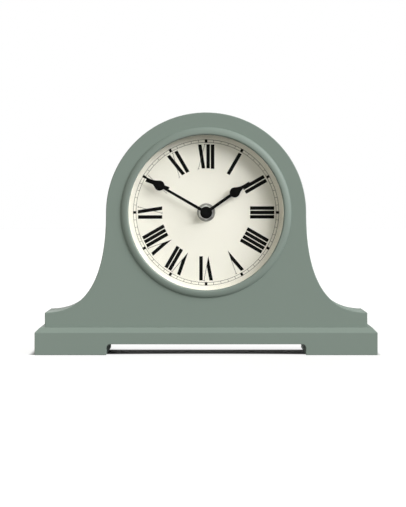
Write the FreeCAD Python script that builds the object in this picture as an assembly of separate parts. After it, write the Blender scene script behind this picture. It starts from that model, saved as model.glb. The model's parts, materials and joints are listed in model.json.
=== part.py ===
# Beehive shelf clock in painted wood, with a glazed Roman dial and a
# battery movement whose whole gear train is modelled.
# Frame: X to the clock's right as seen from the front, Y from the front to
# the back, Z up. The origin is the middle of the plinth's underside.
# Lengths are millimetres, angles are degrees.
import FreeCAD, Part
import math
import os

V = FreeCAD.Vector
ALONG_Y = V(0, 1, 0)

# Plinth
base_width = 300.0
base_depth = 76.0
base_height = 24.0
base_chamfer = 4.4
gap_width = 174.6
gap_height = 9.5
gap_corner_radius = 3.5

# Case body: four boards glued face to face, all cut to one outline
body_side_inset = 8.1
dial_backer_thickness = 7.0
core_thickness = 19.4
back_panel_thickness = 18.0
arch_radius = 88.1
dial_height = 124.6
shoulder_height = 36.7
sweep_upper_pull_share = 0.904
sweep_lower_pull_share = 0.391
edge_ease = 0.8
movement_room = 5.4
core_relief = 11.0
back_opening_room = 5.0

# Dowels that line up the boards, and the screws that hold the plinth on
dowel_radius = 4.0
dowel_engagement = 5.5
dowel_clearance = 0.02
dowel_ring_angle = 45.0
low_dowel_inset = 40.0
low_dowel_rise = 16.0
screw_spacing = 58.0
screw_count = 3
screw_head_radius = 4.0
screw_head_height = 2.6
screw_shank_radius = 2.0
screw_cover = 19.1
screw_point_length = 5.0
screw_clearance = 0.05
screw_slot_width = 1.0
screw_slot_depth = 1.1

# Bezel, glass and the rings behind it
bezel_margin = 13.0
bezel_width = 6.8
bezel_flange = 2.6
bezel_height = 2.8
bezel_side_height = 0.2
bezel_lip_drop = 1.6
bezel_crown_inset = 5.3
glass_cover = 1.7
glass_thickness = 2.0
glass_depth = 1.1
spigot_clearance = 0.2
spigot_length = 6.6
glass_clearance = 0.2
ring_wall = 1.4
spacer_wall = 3.1

# Dial and the fixings on the movement's bush
dial_thickness = 0.8
dial_clearance = 0.3
bush_radius = 4.0
bush_hole_clearance = 0.1
bush_proud = 0.6
gasket_radius = 14.0
gasket_thickness = 1.0
washer_radius = 8.1
washer_thickness = 0.6
nut_sides = 6
nut_across_flats = 12.1
nut_thickness = 2.5
nut_chamfer = 0.35

# Hands
hand_thickness = 0.5
hand_gap = 0.9
hand_spacing = 1.0
hand_hub_radius = 4.4
hour_stem_root_width = 2.8
hour_stem_end_width = 2.5
hour_spade_length = 15.7
hour_bulb_radius = 4.5
hour_hand_shortfall = 16.9
minute_stem_root_width = 2.7
minute_stem_end_width = 2.2
minute_spade_length = 16.0
minute_bulb_radius = 4.5
minute_hand_margin = 4.8
hand_tip_width = 1.6
hand_shoulder_angle = 58.0
hand_hollow_share = 0.333
hour_hand_angle = 55.0
minute_hand_angle = 300.0
cap_radius = 5.3
cap_thickness = 1.8
cap_edge = 0.5
cap_thread_depth = 1.0
cap_glass_gap = 1.3

# Movement housing
movement_above = 28.0
rear_room = 3.6
train_room = 0.83
housing_wall = 1.2
housing_front_wall = 1.5
housing_rear_wall = 1.3
housing_corner = 3.0
housing_front_depth = 8.0
bay_partition = 1.0
clip_width = 5.0
clip_thickness = 0.8
clip_reach = 4.0
clip_hook = 1.2
clip_offset = 13.0
clip_clearance = 0.15

# Battery cell and its contacts
cell_radius = 7.25
cell_length = 49.5
cell_button_radius = 2.75
cell_button_length = 1.0
cell_edge = 0.6
cell_clearance = 0.3
contact_thickness = 0.4
contact_width = 8.0
contact_gap = 0.1
contact_spring_reach = 2.1
contact_spring_radius = 3.0
contact_spring_tip_radius = 1.6

# Gear train: each wheel lies in its own layer behind the front wall
wheel_thickness = 0.8
layer_gap = 0.4
running_clearance = 0.05
motion_distance = 7.0
third_distance = 10.8
intermediate_distance = 7.5
rotor_distance = 7.0
motion_direction = 135.0
third_direction = 60.0
intermediate_direction = -30.0
rotor_direction = 0.0
knob_direction = 180.0
minute_pinion_teeth = 10
motion_wheel_teeth = 30
motion_pinion_teeth = 8
hour_wheel_teeth = 32
knob_pinion_teeth = 12
minute_wheel_teeth = 64
third_pinion_teeth = 8
third_wheel_teeth = 60
seconds_pinion_teeth = 8
seconds_wheel_teeth = 50
intermediate_pinion_teeth = 10
intermediate_wheel_teeth = 48
rotor_pinion_teeth = 8
wheel_tooth_shares = (0.46, 0.14, 0.52)
wheel_addendum_share = 0.9
wheel_dedendum_share = 1.15
pinion_tooth_shares = (0.36, 0.16, 0.36)
pinion_addendum_share = 0.75
pinion_dedendum_share = 1.2
hour_tube_radius = 2.6
minute_tube_radius = 1.7
minute_thread_radius = 1.3
minute_pivot_radius = 1.2
centre_arbor_radius = 0.5
arbor_radius = 0.6
pivot_radius = 0.4
motion_stud_radius = 0.75
knob_shaft_radius = 1.0
knob_radius = 6.0
knob_height = 5.0
knob_gap = 0.4
knob_flutes = 16
knob_flute_radius = 0.7
boss_radius = 1.6
boss_height = 1.2

# Plate that carries the rear of the train
plate_floor_gap = 0.7
plate_knob_margin = 3.2
plate_rotor_margin = 2.5
plate_third_margin = 12.6
post_radius = 1.5
post_inset = 2.3
top_post_offset = 3.1

# Stepping motor and circuit
magnet_radius = 2.0
magnet_hole_clearance = 0.4
stator_arm_width = 6.0
stator_floor_gap = 1.1
stator_height = 26.6
coil_room = 1.3
core_width = 2.0
core_bar_thickness = 2.0
coil_length = 17.0
coil_flange_radius = 3.9
coil_flange_thickness = 0.9
coil_tube_radius = 1.7
coil_winding_radius = 3.5
board_room = 0.8
board_width = 9.2
board_floor_gap = 2.2
board_top_gap = 2.8
board_gap = 1.2
board_thickness = 0.8
board_post_radius = 1.2
chip_radius = 2.6
chip_height = 0.9
crystal_radius = 1.0
crystal_length = 6.2
crystal_drop = 8.0

# How far every cutter runs past the faces that it opens, and how near two
# places lie when they count as one
overrun = 1.0
same_place = 0.01

# Radii about the dial's centre
bezel_outer_radius = arch_radius - bezel_margin
bezel_lip_radius = bezel_outer_radius - bezel_width
glass_radius = bezel_lip_radius + glass_cover
dial_opening_radius = bezel_outer_radius - bezel_flange
minute_hand_length = bezel_lip_radius - minute_hand_margin
minute_bulb_distance = minute_hand_length - minute_spade_length
hour_hand_length = minute_hand_length - hour_hand_shortfall
hour_bulb_distance = hour_hand_length - hour_spade_length

# Depths, from the front of the body inwards: the front panel is as thick as
# all that lies in its opening, and the dial lies on the board behind it
cap_room = cap_glass_gap + cap_thickness
hand_room = hand_thickness + hand_spacing + hand_thickness + hand_gap
fixing_room = bush_proud + nut_thickness + washer_thickness + dial_thickness
front_panel_thickness = glass_depth + glass_thickness + cap_room + hand_room + fixing_room
body_half_width = base_width / 2 - body_side_inset
front_boards_thickness = front_panel_thickness + dial_backer_thickness
body_depth = front_boards_thickness + core_thickness + back_panel_thickness
body_front = -body_depth / 2
backer_front = body_front + front_panel_thickness
core_front = backer_front + dial_backer_thickness
core_back = core_front + core_thickness
body_back = body_front + body_depth
glass_front = body_front + glass_depth
glass_back = glass_front + glass_thickness
spigot_back = body_front + spigot_length
cap_front = glass_back + cap_glass_gap
minute_hand_front = cap_front + cap_thickness
minute_hand_back = minute_hand_front + hand_thickness
hour_hand_front = minute_hand_back + hand_spacing
hour_hand_back = hour_hand_front + hand_thickness
bush_front = hour_hand_back + hand_gap
nut_front = bush_front + bush_proud
washer_front = nut_front + nut_thickness
dial_front = washer_front + washer_thickness
housing_front = backer_front + gasket_thickness
housing_split = housing_front + housing_front_depth
train_front = housing_front + housing_front_wall

# Layers of the train, front to back
HOUR_LAYER = 0
MOTION_LAYER = 1
MINUTE_LAYER = 2
PLATE_LAYER = 3
THIRD_LAYER = 4
SECONDS_LAYER = 5
INTERMEDIATE_LAYER = 6
STATOR_LAYER = 7


def layer_front(number):
    """Depth at which the numbered layer of the train begins."""
    return train_front + layer_gap + number * (wheel_thickness + layer_gap)


def layer_back(number):
    return layer_front(number) + wheel_thickness


def step_from(place, distance, direction):
    """Point at a distance and direction, seen from the front, from a place."""
    angle = math.radians(direction)
    return (place[0] + distance * math.cos(angle), place[1] + distance * math.sin(angle))


def module_of(distance, teeth, partner_teeth):
    """Tooth size that lets two gears mesh at a distance."""
    return 2 * distance / (teeth + partner_teeth)


CENTRE = (0.0, 0.0)
MOTION_AXIS = step_from(CENTRE, motion_distance, motion_direction)
THIRD_AXIS = step_from(CENTRE, third_distance, third_direction)
INTERMEDIATE_AXIS = step_from(CENTRE, intermediate_distance, intermediate_direction)
ROTOR_AXIS = step_from(INTERMEDIATE_AXIS, rotor_distance, rotor_direction)
motion_module = module_of(motion_distance, minute_pinion_teeth, motion_wheel_teeth)
knob_distance = motion_module * (motion_wheel_teeth + knob_pinion_teeth) / 2
KNOB_AXIS = step_from(MOTION_AXIS, knob_distance, knob_direction)

hour_module = module_of(motion_distance, motion_pinion_teeth, hour_wheel_teeth)
third_module = module_of(third_distance, minute_wheel_teeth, third_pinion_teeth)
seconds_module = module_of(third_distance, third_wheel_teeth, seconds_pinion_teeth)
fourth_module = module_of(intermediate_distance, seconds_wheel_teeth, intermediate_pinion_teeth)
rotor_module = module_of(rotor_distance, intermediate_wheel_teeth, rotor_pinion_teeth)

# Inside of the movement, measured from the dial's centre: the battery bay takes
# the width of the cell and its contacts, and lies below the widest wheel
minute_wheel_reach = (minute_wheel_teeth / 2 + wheel_addendum_share) * third_module
train_bottom = -minute_wheel_reach - train_room
bay_top = train_bottom - bay_partition
bay_bottom = bay_top - 2 * (cell_radius + cell_clearance)
inner_top = movement_above - housing_wall
end_room = contact_thickness + contact_gap
inner_width = cell_length + cell_button_length + contact_spring_reach + 2 * end_room
inner_side = inner_width / 2
half_side = inner_side + housing_wall
train_back = layer_back(STATOR_LAYER) + rear_room
housing_back = train_back + housing_rear_wall
cell_axis_height = bay_bottom + cell_radius + cell_clearance
cell_axis_depth = train_front + cell_radius + cell_clearance
button_tip_side = -inner_side + end_room
cell_low_side = button_tip_side + cell_button_length
cell_high_side = cell_low_side + cell_length
plate_low_side = KNOB_AXIS[0] - plate_knob_margin
plate_high_side = ROTOR_AXIS[0] + plate_rotor_margin
plate_low = train_bottom + plate_floor_gap
plate_high = THIRD_AXIS[1] + plate_third_margin
stator_low = train_bottom + stator_floor_gap
stator_high = stator_low + stator_height
coil_side = inner_side - coil_flange_radius - coil_room
board_low_side = -inner_side + board_room
board_high_side = board_low_side + board_width
board_low = train_bottom + board_floor_gap
board_high = inner_top - board_top_gap
board_back = layer_back(STATOR_LAYER) + board_gap

# Holes in the boards, which clear the movement's corners
housing_bottom = bay_bottom - housing_wall
movement_reach = math.hypot(half_side, max(movement_above, -housing_bottom))
movement_hole_radius = movement_reach + movement_room
core_bore_radius = movement_hole_radius + core_relief
back_opening_radius = movement_hole_radius + back_opening_room
screw_length = dial_height - core_bore_radius - screw_cover - gap_height


def rod(radius, front, back, place=CENTRE):
    """Round bar along Y, its place measured from the dial's centre."""
    foot = V(place[0], front, dial_height + place[1])
    return Part.makeCylinder(radius, back - front, foot, ALONG_Y)


def tube(outer, inner, front, back, place=CENTRE):
    bore = rod(inner, front - overrun, back + overrun, place)
    return rod(outer, front, back, place).cut(bore)


def block(low_side, high_side, front, back, low, high):
    """Box whose sides and heights are measured from the dial's centre."""
    corner = V(low_side, front, dial_height + low)
    return Part.makeBox(high_side - low_side, back - front, high - low, corner)


def edges_along(shape, direction):
    """Straight edges of a shape that run along one direction."""
    found = []
    for edge in shape.Edges:
        if isinstance(edge.Curve, Part.Line):
            if edge.Curve.Direction.cross(direction).Length < same_place:
                found.append(edge)
    return found


def fuse_all(shapes):
    whole = shapes[0]
    for shape in shapes[1:]:
        whole = whole.fuse(shape)
    return whole.removeSplitter()


def save(shape, node):
    solids = shape.Solids
    if not solids or not shape.isValid():
        raise RuntimeError(node + " is not a sound solid")
    piece = solids[0] if len(solids) == 1 else Part.makeCompound(solids)
    piece.exportStep("parts/" + node + ".step")


# Case

def base_plinth():
    """Slab with chamfered top edges, cut away underneath between two feet."""
    corner = V(-base_width / 2, -base_depth / 2, 0)
    slab = Part.makeBox(base_width, base_depth, base_height, corner)
    top_edges = []
    for edge in slab.Edges:
        if min(v.Z for v in edge.Vertexes) > base_height / 2:
            top_edges.append(edge)
    slab = slab.makeChamfer(base_chamfer, top_edges)
    cutter_corner = V(-gap_width / 2, -base_depth / 2 - overrun, -gap_height)
    cutter = Part.makeBox(gap_width, base_depth + 2 * overrun, 2 * gap_height, cutter_corner)
    rounded = [e for e in edges_along(cutter, ALONG_Y) if e.Vertexes[0].Z > 0]
    slab = slab.cut(cutter.makeFillet(gap_corner_radius, rounded))
    for place in screw_places():
        slab = slab.cut(plinth_screw(place, screw_clearance))
    return slab


def sweep(side, depth):
    """Concave curve from the arch down to a shoulder corner; side is 1 or -1."""
    drop = dial_height - shoulder_height
    reach = body_half_width - arch_radius
    curve = Part.BezierCurve()
    curve.setPoles([
        V(side * arch_radius, depth, dial_height),
        V(side * arch_radius, depth, dial_height - sweep_upper_pull_share * drop),
        V(side * (body_half_width - sweep_lower_pull_share * reach), depth, shoulder_height),
        V(side * body_half_width, depth, shoulder_height),
    ])
    return curve.toShape()


def case_board(front, back):
    """Board of the case outline between two depths."""
    low_left = V(-body_half_width, front, base_height)
    low_right = V(body_half_width, front, base_height)
    left_shoulder = V(-body_half_width, front, shoulder_height)
    right_shoulder = V(body_half_width, front, shoulder_height)
    arch = Part.Arc(
        V(arch_radius, front, dial_height),
        V(0, front, dial_height + arch_radius),
        V(-arch_radius, front, dial_height),
    )
    outline = Part.Wire(Part.__sortEdges__([
        Part.makeLine(low_left, low_right),
        Part.makeLine(low_right, right_shoulder),
        sweep(1, front),
        arch.toShape(),
        sweep(-1, front),
        Part.makeLine(left_shoulder, low_left),
    ]))
    return Part.Face(outline).extrude(V(0, back - front, 0))


def ease(board, depth=None):
    """Round the shoulder corners, and the outline's edges on one face if it shows."""
    soft = []
    for edge in edges_along(board, ALONG_Y):
        if abs(edge.Vertexes[0].Z - shoulder_height) < same_place:
            soft.append(edge)
    for edge in board.Edges:
        box = edge.BoundBox
        if depth is None or box.ZMax < base_height + edge_ease:
            continue
        if max(abs(box.YMin - depth), abs(box.YMax - depth)) < same_place:
            soft.append(edge)
    return board.makeFillet(edge_ease, soft)


def dowel_places():
    """Dowel places measured from the dial's centre: two on the arch, two low down."""
    ring = (dial_opening_radius + arch_radius) / 2
    upper = step_from(CENTRE, ring, dowel_ring_angle)
    side = body_half_width - low_dowel_inset
    low = low_dowel_rise + base_height - dial_height
    return [upper, (-upper[0], upper[1]), (side, low), (-side, low)]


def dowels(clearance):
    front = backer_front - dowel_engagement
    back = core_back + dowel_engagement
    return [rod(dowel_radius + clearance, front, back, place) for place in dowel_places()]


def screw_places():
    first = -screw_spacing * (screw_count - 1) / 2
    return [first + n * screw_spacing for n in range(screw_count)]


def plinth_screw(side, clearance):
    """Countersunk screw from the gap's ceiling up into the case."""
    foot = V(side, 0, gap_height)
    head_foot = screw_head_radius + clearance
    shank = screw_shank_radius + clearance
    straight = screw_length - screw_point_length
    head = Part.makeCone(head_foot, shank, screw_head_height, foot)
    stem = Part.makeCylinder(shank, straight, foot)
    point = Part.makeCone(shank, 0, screw_point_length, foot + V(0, 0, straight))
    return fuse_all([head, stem, point])


def base_screws():
    screws = []
    for side in screw_places():
        screw = plinth_screw(side, 0)
        corner = V(side - screw_head_radius, -screw_slot_width / 2, gap_height)
        slot = Part.makeBox(2 * screw_head_radius, screw_slot_width, screw_slot_depth, corner)
        screws.append(screw.cut(slot))
    return Part.makeCompound(screws)


def bored(board, cutters):
    for cutter in cutters:
        board = board.cut(cutter)
    return board


def front_panel():
    board = ease(case_board(body_front, backer_front), body_front)
    opening = rod(dial_opening_radius, body_front - overrun, backer_front + overrun)
    return bored(board, [opening] + dowels(dowel_clearance))


def dial_backer():
    """Board that closes the front panel's opening and carries the dial."""
    board = ease(case_board(backer_front, core_front))
    hole = rod(movement_hole_radius, backer_front - overrun, core_front + overrun)
    return bored(board, [hole] + dowels(dowel_clearance))


def case_core():
    board = ease(case_board(core_front, core_back))
    hole = rod(core_bore_radius, core_front - overrun, core_back + overrun)
    screws = [plinth_screw(side, screw_clearance) for side in screw_places()]
    return bored(board, [hole] + dowels(dowel_clearance) + screws)


def back_panel():
    board = ease(case_board(core_back, body_back), body_back)
    hole = rod(back_opening_radius, core_back - overrun, body_back + overrun)
    return bored(board, [hole] + dowels(dowel_clearance))


# Bezel and glass

def quarter_curve(start, corner, end):
    """Quarter of an oval between two points, bulging towards a corner."""
    pull = 4 * (math.sqrt(2) - 1) / 3
    curve = Part.BezierCurve()
    curve.setPoles([start, start + (corner - start) * pull, end + (corner - end) * pull, end])
    return curve.toShape()


def crown_curve(start, end):
    """Arc in one depth section that rises from start and runs level at its end."""
    across = start.x - end.x
    rise = start.y - end.y
    radius = (across * across + rise * rise) / (2 * rise)
    half_turn = math.asin(across / radius) / 2
    middle = end + V(radius * math.sin(half_turn), radius * (1 - math.cos(half_turn)), 0)
    return Part.Arc(start, middle, end).toShape()


def bezel_ring():
    """Raised ring turned about the dial's axis, with a spigot and a seat for the glass."""
    crown = bezel_outer_radius - bezel_crown_inset
    crown_front = body_front - bezel_height
    side_front = body_front - bezel_side_height
    lip_front = crown_front + bezel_lip_drop
    spigot = dial_opening_radius - spigot_clearance
    seat = glass_radius + glass_clearance

    def at(radius, depth):
        return V(radius, depth, dial_height)

    profile = Part.Wire([
        Part.makeLine(at(bezel_outer_radius, body_front), at(bezel_outer_radius, side_front)),
        crown_curve(at(bezel_outer_radius, side_front), at(crown, crown_front)),
        quarter_curve(
            at(crown, crown_front),
            at(bezel_lip_radius, crown_front),
            at(bezel_lip_radius, lip_front),
        ),
        Part.makeLine(at(bezel_lip_radius, lip_front), at(bezel_lip_radius, glass_front)),
        Part.makeLine(at(bezel_lip_radius, glass_front), at(seat, glass_front)),
        Part.makeLine(at(seat, glass_front), at(seat, spigot_back)),
        Part.makeLine(at(seat, spigot_back), at(spigot, spigot_back)),
        Part.makeLine(at(spigot, spigot_back), at(spigot, body_front)),
        Part.makeLine(at(spigot, body_front), at(bezel_outer_radius, body_front)),
    ])
    return Part.Face(profile).revolve(V(0, 0, dial_height), ALONG_Y, 360)


def glass_lens():
    return rod(glass_radius, glass_front, glass_back)


def glass_ring():
    """Thin ring that holds the glass up against the bezel's lip."""
    return tube(glass_radius, glass_radius - ring_wall, glass_back, spigot_back)


def dial_spacer():
    """Wall between the bezel's spigot and the dial, which clamps the dial down."""
    outer = dial_opening_radius - spigot_clearance
    return tube(outer, outer - spacer_wall, spigot_back, dial_front)


# Dial and its fixings

def dial_plate():
    radius = dial_opening_radius - dial_clearance
    return tube(radius, bush_radius + bush_hole_clearance, dial_front, backer_front)


def movement_gasket():
    return tube(gasket_radius, bush_radius + bush_hole_clearance, backer_front, housing_front)


def dial_washer():
    return tube(washer_radius, bush_radius + bush_hole_clearance, washer_front, dial_front)


def hex_nut():
    """Six-sided nut with a corner at the top and the front corners turned off."""
    corner_radius = nut_across_flats / 2 / math.cos(math.pi / nut_sides)
    points = []
    for n in range(nut_sides + 1):
        side, height = step_from(CENTRE, corner_radius, 90 + 360 * n / nut_sides)
        points.append(V(side, nut_front, dial_height + height))
    body = Part.Face(Part.makePolygon(points)).extrude(V(0, nut_thickness, 0))
    turned = Part.makeCone(
        corner_radius - nut_chamfer,
        corner_radius - nut_chamfer + nut_thickness,
        nut_thickness,
        V(0, nut_front, dial_height),
        ALONG_Y,
    )
    hole = rod(bush_radius + running_clearance, nut_front - overrun, washer_front + overrun)
    return body.common(turned).cut(hole)


# Hands

def spade_hand(front, stem_widths, bulb_distance, bulb_radius, length, hole, angle):
    """Hand of one thin sheet: hub, tapered stem, round bulb and a hollow-sided point."""
    back = front + hand_thickness
    shoulder_angle = math.radians(hand_shoulder_angle)
    shoulder = bulb_distance + bulb_radius * math.cos(shoulder_angle)
    shoulder_width = bulb_radius * math.sin(shoulder_angle)
    hollow = hand_hollow_share * (length - shoulder)
    half_tip = hand_tip_width / 2
    root_width, end_width = stem_widths

    def at(side, height):
        return V(side, front, dial_height + height)

    def flank(side):
        curve = Part.BezierCurve()
        curve.setPoles([
            at(side * shoulder_width, shoulder),
            at(side * half_tip, shoulder + hollow),
            at(side * half_tip, length - hollow),
            at(side * half_tip, length),
        ])
        return curve.toShape()

    spear = Part.Face(Part.Wire([
        Part.makeLine(at(-shoulder_width, shoulder), at(shoulder_width, shoulder)),
        flank(1),
        Part.makeLine(at(half_tip, length), at(-half_tip, length)),
        flank(-1),
    ]))
    half_stem = (
        (root_width / 2, 0),
        (end_width / 2, bulb_distance),
    )
    stem_outline = [at(side, height) for side, height in half_stem]
    stem_outline += [at(-side, height) for side, height in reversed(half_stem)]
    stem_outline.append(stem_outline[0])
    stem = Part.Face(Part.makePolygon(stem_outline))
    hand = fuse_all([
        rod(hand_hub_radius, front, back),
        stem.extrude(V(0, hand_thickness, 0)),
        rod(bulb_radius, front, back, (0, bulb_distance)),
        spear.extrude(V(0, hand_thickness, 0)),
    ])
    hand = hand.cut(rod(hole, front - overrun, back + overrun))
    hand.rotate(V(0, 0, dial_height), ALONG_Y, angle)
    return hand


def hour_hand():
    return spade_hand(
        hour_hand_front, (hour_stem_root_width, hour_stem_end_width),
        hour_bulb_distance, hour_bulb_radius,
        hour_hand_length, hour_tube_radius, hour_hand_angle,
    )


def minute_hand():
    return spade_hand(
        minute_hand_front, (minute_stem_root_width, minute_stem_end_width),
        minute_bulb_distance, minute_bulb_radius,
        minute_hand_length, minute_thread_radius, minute_hand_angle,
    )


def hand_cap():
    """Round cap screwed on the minute arbor to hold the minute hand."""
    cap = rod(cap_radius, cap_front, minute_hand_front)
    rim = [e for e in cap.Edges if abs(e.BoundBox.YMax - cap_front) < same_place]
    cap = cap.makeFillet(cap_edge, rim)
    return cap.cut(rod(minute_thread_radius, minute_hand_front - cap_thread_depth, minute_hand_front))


# Gears

def gear(teeth, module, phase, layer, place, shares, addendum, dedendum):
    """Toothed disc in one layer; phase is the direction of one tooth in degrees."""
    front = layer_front(layer)
    pitch_share, tip_share, root_share = shares
    step = 360 / teeth
    pitch_radius = teeth * module / 2
    half_tooth = (
        (pitch_radius - dedendum * module, root_share),
        (pitch_radius, pitch_share),
        (pitch_radius + addendum * module, tip_share),
    )
    corners = [(r, -s) for r, s in half_tooth] + [(r, s) for r, s in reversed(half_tooth)]
    points = []
    for n in range(teeth):
        middle = phase + n * step
        for radius, share in corners:
            side, height = step_from(place, radius, middle + share * step / 2)
            points.append(V(side, front, dial_height + height))
    points.append(points[0])
    return Part.Face(Part.makePolygon(points)).extrude(V(0, wheel_thickness, 0))


def wheel(teeth, module, phase, layer, place):
    return gear(
        teeth, module, phase, layer, place,
        wheel_tooth_shares, wheel_addendum_share, wheel_dedendum_share,
    )


def pinion(teeth, module, phase, layer, place):
    return gear(
        teeth, module, phase, layer, place,
        pinion_tooth_shares, pinion_addendum_share, pinion_dedendum_share,
    )


def meshed_phase(phase, teeth, direction, partner_teeth):
    """Phase of a partner that puts one of its gaps on a tooth of this gear."""
    behind = (phase - direction) * teeth / partner_teeth
    return direction + 180 + 180 / partner_teeth - behind


motion_wheel_phase = meshed_phase(
    motion_direction, minute_pinion_teeth, motion_direction, motion_wheel_teeth
)
motion_pinion_phase = motion_direction + 180
hour_wheel_phase = meshed_phase(
    motion_pinion_phase, motion_pinion_teeth, motion_direction + 180, hour_wheel_teeth
)
knob_pinion_phase = meshed_phase(
    motion_wheel_phase, motion_wheel_teeth, knob_direction, knob_pinion_teeth
)
third_pinion_phase = meshed_phase(
    third_direction, minute_wheel_teeth, third_direction, third_pinion_teeth
)
third_wheel_phase = third_direction + 180
seconds_pinion_phase = meshed_phase(
    third_wheel_phase, third_wheel_teeth, third_direction + 180, seconds_pinion_teeth
)
intermediate_pinion_phase = meshed_phase(
    intermediate_direction, seconds_wheel_teeth, intermediate_direction,
    intermediate_pinion_teeth,
)
rotor_pinion_phase = meshed_phase(
    rotor_direction, intermediate_wheel_teeth, rotor_direction, rotor_pinion_teeth
)


def hour_wheel():
    """Wheel on the tube that carries the hour hand."""
    disc = wheel(hour_wheel_teeth, hour_module, hour_wheel_phase, HOUR_LAYER, CENTRE)
    barrel = rod(hour_tube_radius, hour_hand_front, layer_back(HOUR_LAYER))
    bore = minute_tube_radius + running_clearance
    hole = rod(bore, hour_hand_front - overrun, layer_back(HOUR_LAYER) + overrun)
    return fuse_all([disc, barrel]).cut(hole)


def minute_arbor():
    """Tube that carries the minute hand, its driving wheel and the cannon pinion."""
    leaves = pinion(
        minute_pinion_teeth, motion_module, motion_direction, MOTION_LAYER, CENTRE
    )
    disc = wheel(
        minute_wheel_teeth, third_module, third_direction, MINUTE_LAYER, CENTRE
    )
    barrel = rod(minute_tube_radius, minute_hand_back, layer_front(MOTION_LAYER))
    thread_front = minute_hand_front - cap_thread_depth
    thread = rod(minute_thread_radius, thread_front, minute_hand_back)
    neck = rod(minute_pivot_radius, layer_front(MOTION_LAYER), layer_back(PLATE_LAYER))
    bore = centre_arbor_radius + running_clearance
    hole = rod(bore, thread_front - overrun, layer_back(PLATE_LAYER) + overrun)
    return fuse_all([thread, barrel, leaves, disc, neck]).cut(hole)


def motion_wheel():
    """Wheel and pinion that step the minute arbor down to the hour wheel."""
    disc = wheel(
        motion_wheel_teeth, motion_module, motion_wheel_phase, MOTION_LAYER, MOTION_AXIS
    )
    leaves = pinion(
        motion_pinion_teeth, hour_module, motion_pinion_phase, HOUR_LAYER, MOTION_AXIS
    )
    hub_radius = motion_stud_radius + running_clearance
    root = (motion_pinion_teeth / 2 - pinion_dedendum_share) * hour_module
    join = rod(root, layer_back(HOUR_LAYER), layer_front(MOTION_LAYER), MOTION_AXIS)
    hole = rod(
        hub_radius, layer_front(HOUR_LAYER) - overrun,
        layer_back(MOTION_LAYER) + overrun, MOTION_AXIS,
    )
    return fuse_all([disc, leaves, join]).cut(hole)


def pivoted_arbor(front, back, place):
    """Arbor whose thin ends run in a boss or plate at each end."""
    return fuse_all([
        rod(arbor_radius, front, back, place),
        rod(pivot_radius, front - boss_height, back + boss_height, place),
    ])


def third_wheel():
    disc = wheel(
        third_wheel_teeth, seconds_module, third_wheel_phase, THIRD_LAYER, THIRD_AXIS
    )
    leaves = pinion(
        third_pinion_teeth, third_module, third_pinion_phase, MINUTE_LAYER, THIRD_AXIS
    )
    arbor = pivoted_arbor(layer_front(HOUR_LAYER), layer_back(INTERMEDIATE_LAYER), THIRD_AXIS)
    return fuse_all([arbor, disc, leaves])


def seconds_wheel():
    """Central wheel whose thin arbor runs forward inside the minute arbor."""
    leaves = pinion(
        seconds_pinion_teeth, seconds_module, seconds_pinion_phase, THIRD_LAYER, CENTRE
    )
    disc = wheel(
        seconds_wheel_teeth, fourth_module, intermediate_direction, SECONDS_LAYER, CENTRE
    )
    arbor = rod(centre_arbor_radius, minute_hand_front, layer_back(INTERMEDIATE_LAYER))
    back = layer_back(INTERMEDIATE_LAYER)
    pivot = rod(pivot_radius, back, back + boss_height)
    return fuse_all([arbor, leaves, disc, pivot])


def intermediate_wheel():
    leaves = pinion(
        intermediate_pinion_teeth, fourth_module, intermediate_pinion_phase,
        SECONDS_LAYER, INTERMEDIATE_AXIS,
    )
    disc = wheel(
        intermediate_wheel_teeth, rotor_module, rotor_direction,
        INTERMEDIATE_LAYER, INTERMEDIATE_AXIS,
    )
    front = layer_back(PLATE_LAYER) + layer_gap
    back = layer_back(INTERMEDIATE_LAYER) + layer_gap
    arbor = rod(arbor_radius, front, back, INTERMEDIATE_AXIS)
    ends = rod(
        pivot_radius, layer_front(PLATE_LAYER), back + boss_height, INTERMEDIATE_AXIS
    )
    return fuse_all([arbor, ends, leaves, disc])


def rotor_pinion():
    """Steel arbor and pinion of the stepping motor."""
    leaves = pinion(
        rotor_pinion_teeth, rotor_module, rotor_pinion_phase,
        INTERMEDIATE_LAYER, ROTOR_AXIS,
    )
    front = layer_back(PLATE_LAYER) + layer_gap
    back = layer_back(STATOR_LAYER) + layer_gap
    arbor = rod(arbor_radius, front, back, ROTOR_AXIS)
    ends = rod(pivot_radius, layer_front(PLATE_LAYER), back + boss_height, ROTOR_AXIS)
    return fuse_all([arbor, ends, leaves])


def rotor_magnet():
    return tube(
        magnet_radius, arbor_radius, layer_front(STATOR_LAYER),
        layer_back(STATOR_LAYER), ROTOR_AXIS,
    )


# Movement housing and plate

def rounded_box(front, back, wall, corner):
    """Box with round corners that lies one wall outside the movement's inside."""
    side = inner_side + wall
    body = block(-side, side, front, back, bay_bottom - wall, inner_top + wall)
    return body.makeFillet(corner, edges_along(body, ALONG_Y))


def housing_shell(front, back, wall_front, wall_back):
    """Frame between two depths, with the partition over the battery bay."""
    outer = rounded_box(front, back, housing_wall, housing_corner)
    inner = rounded_box(wall_front, wall_back, 0, housing_corner - housing_wall)
    partition = block(
        -inner_side, inner_side, max(front, wall_front), min(back, wall_back),
        bay_top, train_bottom,
    )
    return fuse_all([outer.cut(inner), partition])


def clip_places():
    middle = (inner_top + bay_bottom) / 2
    heights = (middle - clip_offset, middle + clip_offset)
    return [(side, height) for side in (-1, 1) for height in heights]


def clip_block(side, height, thickness, front, back):
    low = half_side if side > 0 else -half_side - thickness
    return block(
        low, low + thickness, front, back, height - clip_width / 2, height + clip_width / 2
    )


def post_places():
    """Two posts low in the plate's corners and one near its top."""
    low = plate_low + post_inset
    top = (THIRD_AXIS[0] + top_post_offset, plate_high - post_inset)
    return [(plate_low_side + post_inset, low), (plate_high_side - post_inset, low), top]


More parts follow.
